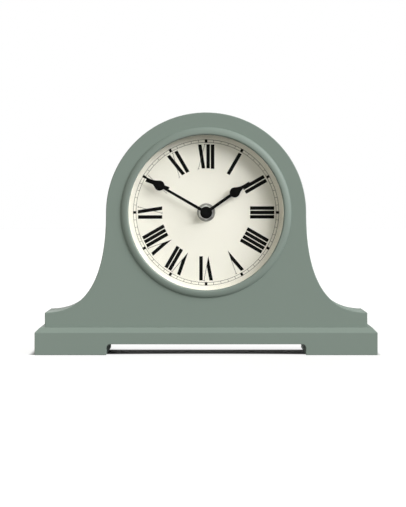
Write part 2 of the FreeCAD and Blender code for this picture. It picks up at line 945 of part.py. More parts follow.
def front_housing():
    """Front half of the movement's case, with the threaded bush and front bearings."""
    shell = housing_shell(housing_front, housing_split, train_front, housing_split + overrun)
    stud_back = layer_back(MOTION_LAYER)
    pieces = [
        shell,
        rod(bush_radius, bush_front, train_front),
        rod(motion_stud_radius, train_front, stud_back, MOTION_AXIS),
    ]
    for place in post_places():
        pieces.append(rod(post_radius, train_front, layer_front(PLATE_LAYER), place))
    catch_back = housing_split - clip_reach - clip_clearance
    for side, height in clip_places():
        catch = clip_block(side, height, clip_thickness / 2, catch_back - clip_hook, catch_back)
        pieces.append(catch)
    housing = fuse_all(pieces)
    through = rod(hour_tube_radius + running_clearance, bush_front - overrun, train_front + overrun)
    third_end = layer_front(HOUR_LAYER) - boss_height
    third_bearing = rod(pivot_radius + running_clearance, third_end, train_front, THIRD_AXIS)
    knob_end = train_front - housing_front_wall / 2
    knob_bearing = rod(knob_shaft_radius + running_clearance, knob_end, train_front, KNOB_AXIS)
    return bored(housing, [through, third_bearing, knob_bearing])


def rear_housing():
    """Rear half of the movement's case; the battery bay is open at the back."""
    shell = housing_shell(housing_split, housing_back, housing_split - overrun, train_back)
    bay = block(
        -inner_side, inner_side, train_back - overrun, housing_back + overrun,
        bay_bottom, bay_top,
    )
    shell = shell.cut(bay)
    low = layer_back(INTERMEDIATE_LAYER)
    supports = (
        (low, THIRD_AXIS),
        (low, CENTRE),
        (low + layer_gap, INTERMEDIATE_AXIS),
        (layer_back(STATOR_LAYER) + layer_gap, ROTOR_AXIS),
    )
    pieces = [shell]
    for front, place in supports:
        pieces.append(rod(boss_radius, front + layer_gap, train_back, place))
    for place in board_post_places():
        pieces.append(rod(board_post_radius, board_back, train_back, place))
    for side, height in clip_places():
        front = housing_split - clip_reach
        pieces.append(clip_block(side, height, clip_thickness, front, housing_back))
    housing = fuse_all(pieces)
    holes = []
    for front, place in supports:
        holes.append(rod(
            pivot_radius + running_clearance, front + layer_gap - overrun,
            front + boss_height + running_clearance, place,
        ))
    holes.append(rod(
        knob_shaft_radius + running_clearance, train_back - overrun,
        housing_back + overrun, KNOB_AXIS,
    ))
    return bored(housing, holes)


def train_plate():
    """Plate on three posts that carries the front pivots of the rear wheels."""
    plate = block(
        plate_low_side, plate_high_side, layer_front(PLATE_LAYER),
        layer_back(PLATE_LAYER), plate_low, plate_high,
    )
    holes = (
        (minute_pivot_radius + running_clearance, CENTRE),
        (arbor_radius + running_clearance, THIRD_AXIS),
        (knob_shaft_radius + running_clearance, KNOB_AXIS),
        (pivot_radius + running_clearance, INTERMEDIATE_AXIS),
        (pivot_radius + running_clearance, ROTOR_AXIS),
    )
    front = layer_front(PLATE_LAYER) - overrun
    back = layer_back(PLATE_LAYER) + overrun
    return bored(plate, [rod(radius, front, back, place) for radius, place in holes])


def setting_shaft():
    """Shaft from the knob to its pinion on the motion wheel."""
    leaves = pinion(
        knob_pinion_teeth, motion_module, knob_pinion_phase, MOTION_LAYER, KNOB_AXIS
    )
    front = train_front - housing_front_wall / 2 + running_clearance
    back = housing_back + knob_gap + knob_height / 2
    return fuse_all([leaves, rod(knob_shaft_radius, front, back, KNOB_AXIS)])


def setting_knob():
    """Fluted knob on the back of the movement."""
    front = housing_back + knob_gap
    back = front + knob_height
    knob = rod(knob_radius, front, back, KNOB_AXIS)
    flutes = []
    for n in range(knob_flutes):
        place = step_from(KNOB_AXIS, knob_radius, 360 * n / knob_flutes)
        flutes.append(rod(knob_flute_radius, front - overrun, back + overrun, place))
    hole = rod(knob_shaft_radius, front - overrun, front + knob_height / 2, KNOB_AXIS)
    return bored(knob, flutes + [hole])


# Battery, motor and circuit

def lengthwise(radius, low_side, high_side):
    """Round bar along X on the battery's axis."""
    foot = V(low_side, cell_axis_depth, dial_height + cell_axis_height)
    return Part.makeCylinder(radius, high_side - low_side, foot, V(1, 0, 0))


def battery_cell():
    can = lengthwise(cell_radius, cell_low_side, cell_high_side)
    rims = [e for e in can.Edges if isinstance(e.Curve, Part.Circle)]
    can = can.makeFillet(cell_edge, rims)
    return can.fuse(lengthwise(cell_button_radius, button_tip_side, cell_low_side))


def contact_strip(low_side):
    return block(
        low_side, low_side + contact_thickness,
        cell_axis_depth - contact_width / 2, cell_axis_depth + contact_width / 2,
        cell_axis_height - contact_width / 2, cell_axis_height + contact_width / 2,
    )


def positive_contact():
    return contact_strip(-inner_side)


def negative_contact():
    """Strip with a sprung cone that presses on the flat end of the cell."""
    strip_side = inner_side - contact_thickness
    tip_side = strip_side - contact_spring_reach
    foot = V(tip_side, cell_axis_depth, dial_height + cell_axis_height)
    cone = Part.makeCone(
        contact_spring_tip_radius, contact_spring_radius, contact_spring_reach,
        foot, V(1, 0, 0),
    )
    return fuse_all([contact_strip(strip_side), cone])


def stator_plate():
    """Iron plate around the magnet, with two arms that reach the coil's core."""
    front = layer_front(STATOR_LAYER)
    back = layer_back(STATOR_LAYER)
    middle = ROTOR_AXIS[0]
    low_side = middle - stator_arm_width / 2
    high_side = middle + stator_arm_width / 2
    end_side = coil_side + core_width
    pieces = [
        block(low_side, high_side, front, back, stator_low, stator_high),
        block(low_side, end_side, front, back, stator_low, stator_low + stator_arm_width / 2),
        block(low_side, end_side, front, back, stator_high - stator_arm_width / 2, stator_high),
    ]
    hole = rod(magnet_radius + magnet_hole_clearance, front - overrun, back + overrun, ROTOR_AXIS)
    return fuse_all(pieces).cut(hole)


def coil_middle():
    return (stator_low + stator_high) / 2


def core_depths():
    back = layer_front(STATOR_LAYER)
    return back - core_bar_thickness, back


def coil_core():
    """Iron bar inside the coil; its ends lie on the stator's arms."""
    front, back = core_depths()
    return block(
        coil_side - core_width / 2, coil_side + core_width / 2, front, back,
        stator_low, stator_high,
    )


def upright(radius, low, high):
    """Round bar along Z on the coil's axis."""
    front, back = core_depths()
    foot = V(coil_side, (front + back) / 2, dial_height + low)
    return Part.makeCylinder(radius, high - low, foot)


def coil_bobbin():
    low = coil_middle() - coil_length / 2
    high = coil_middle() + coil_length / 2
    front, back = core_depths()
    spool = fuse_all([
        upright(coil_tube_radius, low, high),
        upright(coil_flange_radius, low, low + coil_flange_thickness),
        upright(coil_flange_radius, high - coil_flange_thickness, high),
    ])
    slot = block(
        coil_side - core_width / 2, coil_side + core_width / 2, front, back,
        low - overrun, high + overrun,
    )
    return spool.cut(slot)


def coil_winding():
    low = coil_middle() - coil_length / 2 + coil_flange_thickness
    high = coil_middle() + coil_length / 2 - coil_flange_thickness
    return upright(coil_winding_radius, low, high).cut(
        upright(coil_tube_radius, low - overrun, high + overrun)
    )


def board_post_places():
    middle = (board_low_side + board_high_side) / 2
    inset = 2 * board_post_radius
    return [(middle, board_low + inset), (middle, board_high - inset)]


def circuit_board():
    front = board_back - board_thickness
    return block(board_low_side, board_high_side, front, board_back, board_low, board_high)


def chip_cover():
    """Blob of resin over the chip, on the board's front."""
    back = board_back - board_thickness
    front = back - chip_height
    middle = ((board_low_side + board_high_side) / 2, (board_low + board_high) / 2)
    blob = rod(chip_radius, front, back, middle)
    rim = [e for e in blob.Edges if abs(e.BoundBox.YMax - front) < same_place]
    return blob.makeFillet(chip_height / 2, rim)


def crystal_can():
    """Little upright can of the quartz crystal, lying on the board's front."""
    depth = board_back - board_thickness - crystal_radius
    side = (board_low_side + board_high_side) / 2
    foot = V(side, depth, dial_height + board_high - crystal_drop)
    return Part.makeCylinder(crystal_radius, crystal_length, foot)


NODES = {
    "base_plinth": base_plinth,
    "front_panel": front_panel,
    "dial_backer": dial_backer,
    "case_core": case_core,
    "back_panel": back_panel,
    "case_dowels": lambda: Part.makeCompound(dowels(0)),
    "base_screws": base_screws,
    "bezel_ring": bezel_ring,
    "glass_lens": glass_lens,
    "glass_ring": glass_ring,
    "dial_spacer": dial_spacer,
    "dial_plate": dial_plate,
    "movement_gasket": movement_gasket,
    "dial_washer": dial_washer,
    "hex_nut": hex_nut,
    "hour_hand": hour_hand,
    "minute_hand": minute_hand,
    "hand_cap": hand_cap,
    "hour_wheel": hour_wheel,
    "minute_arbor": minute_arbor,
    "motion_wheel": motion_wheel,
    "third_wheel": third_wheel,
    "seconds_wheel": seconds_wheel,
    "intermediate_wheel": intermediate_wheel,
    "rotor_pinion": rotor_pinion,
    "rotor_magnet": rotor_magnet,
    "front_housing": front_housing,
    "rear_housing": rear_housing,
    "train_plate": train_plate,
    "setting_shaft": setting_shaft,
    "setting_knob": setting_knob,
    "battery_cell": battery_cell,
    "positive_contact": positive_contact,
    "negative_contact": negative_contact,
    "stator_plate": stator_plate,
    "coil_core": coil_core,
    "coil_bobbin": coil_bobbin,
    "coil_winding": coil_winding,
    "circuit_board": circuit_board,
    "chip_cover": chip_cover,
    "crystal_can": crystal_can,
}

os.makedirs("parts", exist_ok=True)
for node, make in NODES.items():
    save(make(), node)
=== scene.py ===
import json
import math

import bpy
from bpy.props import FloatProperty, FloatVectorProperty, PointerProperty
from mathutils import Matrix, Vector

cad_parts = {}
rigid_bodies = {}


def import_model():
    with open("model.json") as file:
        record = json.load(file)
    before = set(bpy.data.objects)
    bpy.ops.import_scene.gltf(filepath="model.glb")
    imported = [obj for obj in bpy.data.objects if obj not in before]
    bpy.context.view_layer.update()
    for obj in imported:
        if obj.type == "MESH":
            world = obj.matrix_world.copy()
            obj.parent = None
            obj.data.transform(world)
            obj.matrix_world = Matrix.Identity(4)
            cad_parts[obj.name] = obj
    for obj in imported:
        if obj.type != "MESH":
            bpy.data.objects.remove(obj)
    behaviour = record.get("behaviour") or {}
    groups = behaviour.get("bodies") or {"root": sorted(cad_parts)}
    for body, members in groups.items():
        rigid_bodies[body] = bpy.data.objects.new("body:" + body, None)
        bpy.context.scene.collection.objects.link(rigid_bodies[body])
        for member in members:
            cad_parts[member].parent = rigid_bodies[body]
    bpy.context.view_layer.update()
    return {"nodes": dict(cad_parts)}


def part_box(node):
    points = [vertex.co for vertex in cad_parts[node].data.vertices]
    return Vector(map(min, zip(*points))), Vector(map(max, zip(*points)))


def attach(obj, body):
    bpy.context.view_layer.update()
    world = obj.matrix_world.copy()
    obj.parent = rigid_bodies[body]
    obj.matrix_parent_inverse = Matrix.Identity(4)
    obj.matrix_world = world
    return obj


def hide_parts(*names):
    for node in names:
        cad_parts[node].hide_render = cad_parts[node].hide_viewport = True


bl_info = {
    "name": "Beehive shelf clock",
    "version": (1, 0, 0),
    "blender": (4, 5, 0),
    "location": "3D View > Sidebar > Shelf clock",
    "description": "Dresses a painted beehive shelf clock: case, bezel, dial, hands and movement",
    "category": "Object",
}

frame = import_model()


# Places taken from the frame

def low_corner(node):
    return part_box(node)[0]


def high_corner(node):
    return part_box(node)[1]


def middle(node):
    low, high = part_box(node)
    return (low + high) / 2


DIAL = middle("dial_plate")
DIAL_FRONT = low_corner("dial_plate").y
KNOB = middle("setting_knob")

# Distance within which a vertex counts as lying on a plane
NEAR = 0.00001
# Distance within which two vertices of a turned piece become one
MERGE = 0.000002
# How far a cutter reaches past the piece that it cuts
PAST = 0.001


def srgb(red, green, blue):
    """Colour as a paint chart gives it, each part from 0 to 255, in linear light."""
    parts = []
    for part in (red, green, blue):
        level = part / 255
        dark = level <= 0.04045
        parts.append(level / 12.92 if dark else ((level + 0.055) / 1.055) ** 2.4)
    return tuple(parts)


def length(name, metres):
    return FloatProperty(
        name=name, default=metres, min=0.0, precision=5, subtype="DISTANCE", unit="LENGTH"
    )


def share(name, default):
    return FloatProperty(name=name, default=default, min=0.0, max=1.0, subtype="FACTOR")


def colour(name, default):
    return FloatVectorProperty(
        name=name, default=default, size=3, min=0.0, max=1.0, subtype="COLOR"
    )


def angle(name, degrees):
    return FloatProperty(
        name=name, default=math.radians(degrees), subtype="ANGLE", unit="ROTATION"
    )


def strength(name, default):
    return FloatProperty(name=name, default=default, min=0.0)


# Settings

class CaseSettings(bpy.types.PropertyGroup):
    paint: colour("Colour of the case, plinth and bezel", srgb(127, 140, 134))
    board: colour("Colour of the fibre board inside the case", srgb(150, 118, 84))
    shoulder_height: length("Height of the square shoulders", 0.0367)
    upper_pull: share("How far the flank keeps on straight down", 0.904)
    lower_pull: share("How far the flank keeps on level at the shoulder", 0.391)
    edge_ease: length("Rounding of the body's edges", 0.0008)
    dial_opening: length("Radius of the front panel's opening", 0.0725)
    movement_hole: length("Radius of the hole behind the dial", 0.045)
    core_bore: length("Radius of the room for the movement", 0.056)
    back_opening: length("Radius of the opening at the back", 0.05)
    chamfer: length("Chamfer round the plinth's top", 0.0044)
    gap_width: length("Width of the cut-out under the plinth", 0.1746)
    gap_height: length("Height of the cut-out under the plinth", 0.0095)
    gap_corner: length("Rounding of the cut-out's upper corners", 0.0035)
    plinth_ease: length("Rounding of the plinth's edges", 0.0005)
    screw_spacing: length("Distance between the plinth's screws", 0.058)
    bezel_side: length("Upright part of the bezel's outer wall", 0.0002)
    bezel_lip: length("Inner radius of the bezel", 0.0683)
    bezel_crown: length("Radius at which the bezel stands highest", 0.0698)
    bezel_lip_drop: length("How far the lip lies below the crown", 0.0016)
    glass_seat: length("Radius of the rebate that takes the glass", 0.0702)
    spigot: length("Radius of the bezel's spigot in the panel", 0.0723)


class DialSettings(bpy.types.PropertyGroup):
    ink: colour("Colour of the numerals and hour blocks", srgb(7, 7, 6))
    hairline_ink: colour("Colour of the thinnest lines", srgb(96, 90, 82))
    print_height: length("Thickness of the printed ink", 0.00004)
    numeral_outer: length("Radius at the numerals' outer ends", 0.0605)
    numeral_inner: length("Radius at the numerals' inner ends", 0.0391)
    stroke: length("Width of a thick stroke", 0.00312)
    pitch: length("Distance between neighbouring strokes", 0.00386)
    hairline: length("Width of a thin stroke", 0.00042)
    serif: length("Length of the thin strokes' end bars", 0.0018)
    outer_ring: length("Radius of the outer minute ring", 0.0645)
    inner_ring: length("Radius of the inner minute ring", 0.0621)
    ring_line: length("Width of the minute rings", 0.00036)
    block_width: length("Width of an hour block", 0.0023)
    block_outer: length("Radius at an hour block's outer end", 0.0649)
    block_inner: length("Radius at an hour block's inner end", 0.0617)
    hand_paint: colour("Colour of the hands and their cap", srgb(3, 3, 3))


class MovementSettings(bpy.types.PropertyGroup):
    housing: colour("Colour of the moulded housing", srgb(26, 26, 27))
    wheels: colour("Colour of the moulded wheels", srgb(226, 222, 207))
    jacket: colour("Colour of the cell's jacket", srgb(38, 60, 84))
    band: colour("Colour of the band at the cell's positive end", srgb(188, 122, 58))
    copper: colour("Colour of the enamelled wire", srgb(168, 84, 44))
    laminate: colour("Colour of the circuit board", srgb(28, 88, 50))
    mark_height: length("How far the moulded marks stand up", 0.00025)
    mark_width: length("Width of the moulded marks' lines", 0.0006)


class StageSettings(bpy.types.PropertyGroup):
    key: strength("Strength of the main lamp", 3.25)
    key_softness: angle("Apparent size of the main lamp", 42.0)
    fill: strength("Strength of the front lamp", 0.3)
    fill_softness: angle("Apparent size of the front lamp", 14.0)
    back: strength("Strength of the rear lamp", 1.6)
    back_softness: angle("Apparent size of the rear lamp", 30.0)
    ambient: strength("Light from all round", 0.55)
    camera_distance: length("From the clock's middle to the camera", 1.5)
    camera_height: length("Height of the camera above the shelf", 0.13545)
    lens: FloatProperty(name="Focal length in millimetres", default=118.79)
    across: FloatProperty(name="Sideways shift of the view", default=-0.0061)
    upward: FloatProperty(name="Upward shift of the view", default=-0.1051)


class ClockSettings(bpy.types.PropertyGroup):
    case: PointerProperty(type=CaseSettings)
    dial: PointerProperty(type=DialSettings)
    movement: PointerProperty(type=MovementSettings)
    stage: PointerProperty(type=StageSettings)


def settings():
    return bpy.context.scene.shelf_clock


# Workshop: how pieces are shaped

def deselect():
    for thing in bpy.context.view_layer.objects:
        thing.select_set(False)


def hold(piece):
    """Make one piece the only selected one."""
    deselect()
    piece.select_set(True)
    bpy.context.view_layer.objects.active = piece
    return piece


def edit_all():
    """Edit the active piece with all of it selected."""
    bpy.ops.object.mode_set(mode="EDIT")
    bpy.ops.mesh.select_all(action="SELECT")


def named(name):
    """Name the newest piece and put its origin at the frame's, unturned and unscaled."""
    piece = hold(bpy.context.object)
    bpy.ops.object.transform_apply(location=True, rotation=True, scale=True)
    piece.name = name
    piece.data.name = name
    return piece


def bevel_edges(piece, wanted, **values):
    """Bevel the edges whose two ends a test accepts."""
    hold(piece)
    bpy.ops.object.mode_set(mode="EDIT")
    bpy.ops.mesh.select_mode(type="EDGE")
    bpy.ops.mesh.select_all(action="DESELECT")
    bpy.ops.object.mode_set(mode="OBJECT")
    points = piece.data.vertices
    found = [edge for edge in piece.data.edges if wanted([points[n].co for n in edge.vertices])]
    for edge in found:
        edge.select = True
    if not found:
        raise RuntimeError("no edge to bevel on " + piece.name)
    bpy.ops.object.mode_set(mode="EDIT")
    bpy.ops.mesh.bevel(affect="EDGES", **values)
    bpy.ops.object.mode_set(mode="OBJECT")


def modify(piece, kind, **values):
    """Give a piece one modifier and apply it."""
    hold(piece)
    modifier = piece.modifiers.new(kind.title(), kind)
    for name, value in values.items():
        setattr(modifier, name, value)
    bpy.ops.object.modifier_apply(modifier=modifier.name)
    return piece


def cut(piece, cutter):
    modify(piece, "BOOLEAN", operation="DIFFERENCE", solver="EXACT", object=cutter)
    bpy.data.objects.remove(cutter)
    return piece


def smooth(piece, degrees):
    """Shade curved faces smoothly and keep flat ones flat."""
    hold(piece)
    bpy.ops.object.shade_smooth_by_angle(angle=math.radians(degrees))
    return modify(piece, "WEIGHTED_NORMAL", keep_sharp=True, weight=80)


def turned(name, profile, steps, degrees=35.0):
    """Piece turned about the dial's axis, from a profile of radii and depths."""
    radius, depth = profile[0]
    deselect()
    bpy.ops.mesh.primitive_plane_add(size=0.001, location=(DIAL.x + radius, depth, DIAL.z))
    edit_all()
    bpy.ops.mesh.select_mode(type="VERT")
    bpy.ops.mesh.merge(type="CENTER")
    for next_radius, next_depth in profile[1:]:
        move = (next_radius - radius, next_depth - depth, 0)
        bpy.ops.mesh.extrude_vertices_move(TRANSFORM_OT_translate={"value": move})
        radius, depth = next_radius, next_depth
    bpy.ops.mesh.select_all(action="SELECT")
    bpy.ops.mesh.spin(
        steps=steps, angle=2 * math.pi, center=(DIAL.x, 0, DIAL.z), axis=(0, 1, 0)
    )
    bpy.ops.mesh.select_all(action="SELECT")
    bpy.ops.mesh.remove_doubles(threshold=MERGE)
    bpy.ops.mesh.normals_make_consistent(inside=False)
    bpy.ops.object.mode_set(mode="OBJECT")
    return smooth(named(name), degrees)


def rounding(start, corner, end, steps):
    """Points of a quarter oval from start to end that bulges towards a corner."""
    points = []
    for n in range(1, steps + 1):
        turn = math.pi / 2 * n / steps
        out, on = math.sin(turn), 1 - math.cos(turn)
        points.append((
            start[0] + (corner[0] - start[0]) * out + (end[0] - corner[0]) * on,
            start[1] + (corner[1] - start[1]) * out + (end[1] - corner[1]) * on,
        ))
    return points


def crown_sweep(start, end, steps):
    """Points midway between an arc and a quarter ellipse that rise steeply and end level."""
    across, rise = start[0] - end[0], start[1] - end[1]
    radius = (across * across + rise * rise) / (2 * rise)
    whole = math.asin(across / radius)
    points = []
    for n in range(steps - 1, -1, -1):
        turn, quarter = whole * n / steps, math.pi / 2 * n / steps
        side = (radius * math.sin(turn) + across * math.sin(quarter)) / 2
        drop = (radius * (1 - math.cos(turn)) + rise * (1 - math.cos(quarter))) / 2
        points.append((end[0] + side, end[1] + drop))
    return points


def round_cutter(radius, front, back):
    """Cylinder round the dial's axis."""
    deselect()
    bpy.ops.mesh.primitive_cylinder_add(
        vertices=256, radius=radius, depth=back - front,
        location=(DIAL.x, (front + back) / 2, DIAL.z), rotation=(math.pi / 2, 0, 0),
    )
    return named("cutter")


def block(name, centre, size, turn=0.0):
    """Box with given width, depth and height, turned clockwise as the camera sees it."""
    deselect()
    bpy.ops.mesh.primitive_cube_add(size=1, location=centre, rotation=(0, turn, 0), scale=size)
    return named(name)


def bar(centre, size, turn=0.0):
    return block("bar", centre, size, turn)


def trim(piece, place, away):
    """Cut off what lies beyond a plane, on the side that a direction points to."""
    hold(piece)
    edit_all()
    bpy.ops.mesh.bisect(
        plane_co=place, plane_no=away.normalized(), use_fill=True, clear_outer=True,
        threshold=MERGE / 2,
    )
    bpy.ops.object.mode_set(mode="OBJECT")
    return piece


def joined(name, pieces):
    deselect()
    for piece in pieces:
        piece.select_set(True)
    bpy.context.view_layer.objects.active = pieces[0]
    bpy.ops.object.join()
    return named(name)


# Finishes: node groups shared by the materials

def shared_group(name, inputs, outputs, build):
    """Node group made once, with its inputs and outputs given as name and kind."""
    if name in bpy.data.node_groups:
        return bpy.data.node_groups[name]
    group = bpy.data.node_groups.new(name, "ShaderNodeTree")
    for direction, sockets in (("INPUT", inputs), ("OUTPUT", outputs)):
        for label, kind in sockets.items():
            group.interface.new_socket(label, in_out=direction, socket_type="NodeSocket" + kind)
    enter = group.nodes.new("NodeGroupInput").outputs
    leave = group.nodes.new("NodeGroupOutput").inputs
    build(group, enter, leave)
    return group


def node(tree, kind, links=None, **values):
    """Add a node, set its attributes and link or fill its inputs."""
    made = tree.nodes.new(kind)
    for name, value in values.items():
        setattr(made, name, value)
    for socket, source in (links or {}).items():
        if isinstance(source, bpy.types.NodeSocket):
            tree.links.new(source, made.inputs[socket])
        else:
            made.inputs[socket].default_value = source
    return made


def place_of(tree):
    return node(tree, "ShaderNodeTexCoord").outputs["Object"]


def noise(tree, place, scale, detail=2.0, roughness=0.5):
    made = node(tree, "ShaderNodeTexNoise", {
        "Vector": place, "Scale": scale, "Detail": detail, "Roughness": roughness,
    })
    return made.outputs["Fac"]


def maths(tree, first, second, operation="ADD"):
    return node(tree, "ShaderNodeMath", {0: first, 1: second}, operation=operation).outputs[0]


def tone_drift():
    """Colour that drifts a little lighter and darker over the surface."""
    def build(tree, enter, leave):
        broad = noise(tree, enter["Place"], enter["Scale"], detail=3.0, roughness=0.55)
        centred = maths(tree, broad, 0.5, "SUBTRACT")
        factor = maths(tree, maths(tree, centred, enter["Amount"], "MULTIPLY"), 1.0)
        tinted = node(tree, "ShaderNodeVectorMath", {0: enter["Colour"]}, operation="SCALE")
        tree.links.new(factor, tinted.inputs["Scale"])
        tree.links.new(tinted.outputs[0], leave["Colour"])
    return shared_group(
        "Tone drift",
        {"Place": "Vector", "Colour": "Color", "Scale": "Float", "Amount": "Float"},
        {"Colour": "Color"}, build,
    )


def skin():
    """Height of a sprayed or moulded skin: soft waves with fine grit on them."""
    def build(tree, enter, leave):
        waves = noise(tree, enter["Place"], enter["Wave scale"], detail=1.0, roughness=0.4)
        grit = noise(tree, enter["Place"], enter["Grit scale"], detail=2.0, roughness=0.6)
        part = maths(tree, grit, enter["Grit share"], "MULTIPLY")
        tree.links.new(maths(tree, waves, part), leave["Height"])
        tree.links.new(grit, leave["Grit"])
    return shared_group(
        "Skin",
        {"Place": "Vector", "Wave scale": "Float", "Grit scale": "Float", "Grit share": "Float"},
        {"Height": "Float", "Grit": "Float"}, build,
    )


def turning_lines():
    """Height of the fine rings that a lathe or a round brush leaves on metal."""
    def build(tree, enter, leave):
        split = node(tree, "ShaderNodeSeparateXYZ", {0: enter["Place"]}).outputs
        across = maths(tree, split["X"], split["X"], "MULTIPLY")
        upward = maths(tree, split["Z"], split["Z"], "MULTIPLY")
        radius = maths(tree, maths(tree, across, upward), 0.5, "POWER")
        uneven = node(tree, "ShaderNodeCombineXYZ", {
            "X": maths(tree, radius, enter["Scale"], "MULTIPLY"),
            "Y": maths(tree, split["Y"], enter["Scale"], "MULTIPLY"),
        })
        tree.links.new(noise(tree, uneven.outputs[0], scale=1.0), leave["Height"])
    return shared_group(
        "Turning lines", {"Place": "Vector", "Scale": "Float"}, {"Height": "Float"}, build
    )


def placed_group(tree, group, **inputs):
    """Outputs of a node group put into a tree; an underscore in an input is a space."""
    made = tree.nodes.new("ShaderNodeGroup")
    made.node_tree = group
    for name, source in inputs.items():
        socket = made.inputs[name.replace("_", " ")]
        if isinstance(source, bpy.types.NodeSocket):
            tree.links.new(source, socket)
        else:
            socket.default_value = source
    return made.outputs


def with_alpha(tint):
    return (tint[0], tint[1], tint[2], 1.0)


def scaled(tint, factor):
    return [min(1.0, part * factor) for part in tint]


def blank(name, **inputs):
    """New material, its tree and its shader; an underscore in an input is a space."""
    material = bpy.data.materials.new(name)
    material.use_nodes = True
    tree = material.node_tree
    shader = tree.nodes["Principled BSDF"]
    for label, value in inputs.items():
        shader.inputs[label.replace("_", " ")].default_value = value
    return material, tree, shader


def stretched(tree, **values):
    """Object coordinates moved, turned or scaled."""
    return node(tree, "ShaderNodeMapping", {"Vector": place_of(tree), **values}).outputs[0]


def toned(tree, shader, place, tint, scale, amount):
    """Base colour that drifts a little over the surface."""
    tone = placed_group(tree, tone_drift(), Place=place, Colour=tint, Scale=scale, Amount=amount)
    tree.links.new(tone["Colour"], shader.inputs["Base Color"])


def embossed(tree, shader, height, distance):
    bump = node(tree, "ShaderNodeBump", {"Height": height, "Distance": distance})
    tree.links.new(bump.outputs[0], shader.inputs["Normal"])


def shone(tree, shader, value, least, most):
    """Roughness that follows a value from least to most."""
    shine = node(tree, "ShaderNodeMapRange", {"Value": value, "To Min": least, "To Max": most})
    tree.links.new(shine.outputs[0], shader.inputs["Roughness"])


def ramp(tree, factor, stops, interpolation="LINEAR"):
    """Colours along a factor, from two or more stops of position and colour."""
    made = node(tree, "ShaderNodeValToRGB", {"Fac": factor})
    bands = made.color_ramp
    bands.interpolation = interpolation
    for n, (position, tint) in enumerate(stops):
        band = bands.elements[n] if n < 2 else bands.elements.new(position)
        band.position = position
        band.color = with_alpha(tint)
    return made.outputs[0]


def coated(name, tint, rough, waves=500.0, grit=3000.0, grit_share=0.3, depth=0.00001,
           drift=0.05, drift_scale=40.0, rough_drift=0.06, metallic=0.0, specular=0.5):
    """Material of one coloured stuff with drifting tone and a skin of its own."""
    if name in bpy.data.materials:
        return bpy.data.materials[name]
    material, tree, shader = blank(name, Metallic=metallic, Specular_IOR_Level=specular)
    place = place_of(tree)
    toned(tree, shader, place, with_alpha(tint), scale=drift_scale, amount=drift)
    relief = placed_group(
        tree, skin(), Place=place, Wave_scale=waves, Grit_scale=grit, Grit_share=grit_share
    )
    embossed(tree, shader, relief["Height"], distance=depth)
    shone(tree, shader, relief["Grit"], least=rough - rough_drift, most=rough + rough_drift)
    return material


def machined(name, tint, rough):
    """Metal with fine rings round the dial's axis."""
    material, tree, shader = blank(name, Metallic=1.0)
    centred = stretched(tree, Location=(-DIAL.x, 0, -DIAL.z))
    toned(tree, shader, centred, with_alpha(tint), scale=300.0, amount=0.12)
    rings = placed_group(tree, turning_lines(), Place=centred, Scale=6000.0)
    embossed(tree, shader, rings["Height"], distance=0.000004)
    shone(tree, shader, rings["Height"], least=rough - 0.08, most=rough + 0.1)
    return material


def sage_paint(name, rough, specular, depth):
    return coated(
        name, settings().case.paint, rough, waves=420.0, grit=2600.0, grit_share=0.25,
        depth=depth, drift=0.035, drift_scale=26.0, rough_drift=0.05, specular=specular,
    )


def case_paint():
    return sage_paint("sage_paint", rough=0.75, specular=0.06, depth=0.000012)


def bezel_paint():
    """The case's paint with the shine of a turned ring."""
    return sage_paint("sage_paint_rubbed", rough=0.5, specular=0.36, depth=0.000008)


def bare_board():
    """Pressed fibre board: short pale and dark fibres in a brown ground."""
    name = "fibre_board"
    if name in bpy.data.materials:
        return bpy.data.materials[name]
    material, tree, shader = blank(name, Roughness=0.85)
    tint = settings().case.board
    place = stretched(tree, Scale=(1.0, 3.0, 1.0))
    fibres = noise(tree, place, scale=900.0, detail=4.0, roughness=0.7)
    tones = ramp(tree, fibres, ((0.35, scaled(tint, 0.62)), (0.66, scaled(tint, 1.35))))
    toned(tree, shader, place_of(tree), tones, scale=60.0, amount=0.12)
    embossed(tree, shader, fibres, distance=0.00006)
    return material


def wood(name, tint):
    """Straight-grained wood whose grain runs along Y."""
    material, tree, shader = blank(name, Roughness=0.6)
    place = stretched(tree, Scale=(1.0, 0.06, 1.0))
    grain = noise(tree, place, scale=1400.0, detail=4.0, roughness=0.65)
    tones = ramp(tree, grain, ((0.3, scaled(tint, 0.6)), (0.7, tint)))
    tree.links.new(tones, shader.inputs["Base Color"])
    embossed(tree, shader, grain, distance=0.00003)
    return material


def clear_glass():
    """Clear flat glass that lets the lamps through to the dial."""
    material, tree, shader = blank(
        "front_glass", Transmission_Weight=1.0, IOR=1.45, Base_Color=(0.985, 0.995, 0.99, 1.0)
    )
    shone(tree, shader, noise(tree, place_of(tree), scale=30.0), least=0.0, most=0.02)
    through = node(tree, "ShaderNodeBsdfTransparent")
    path = node(tree, "ShaderNodeLightPath").outputs
    unseen = maths(tree, path["Is Shadow Ray"], path["Is Diffuse Ray"], "MAXIMUM")
    mix = node(tree, "ShaderNodeMixShader", {
        0: unseen, 1: shader.outputs[0], 2: through.outputs[0],
    })
    tree.links.new(mix.outputs[0], tree.nodes["Material Output"].inputs["Surface"])
    return material


# Places along the cell, as shares of its length from the positive end
CAP_END = 0.032
BAND_END = 0.26
LINE_END = 0.275
JACKET_END = 0.985


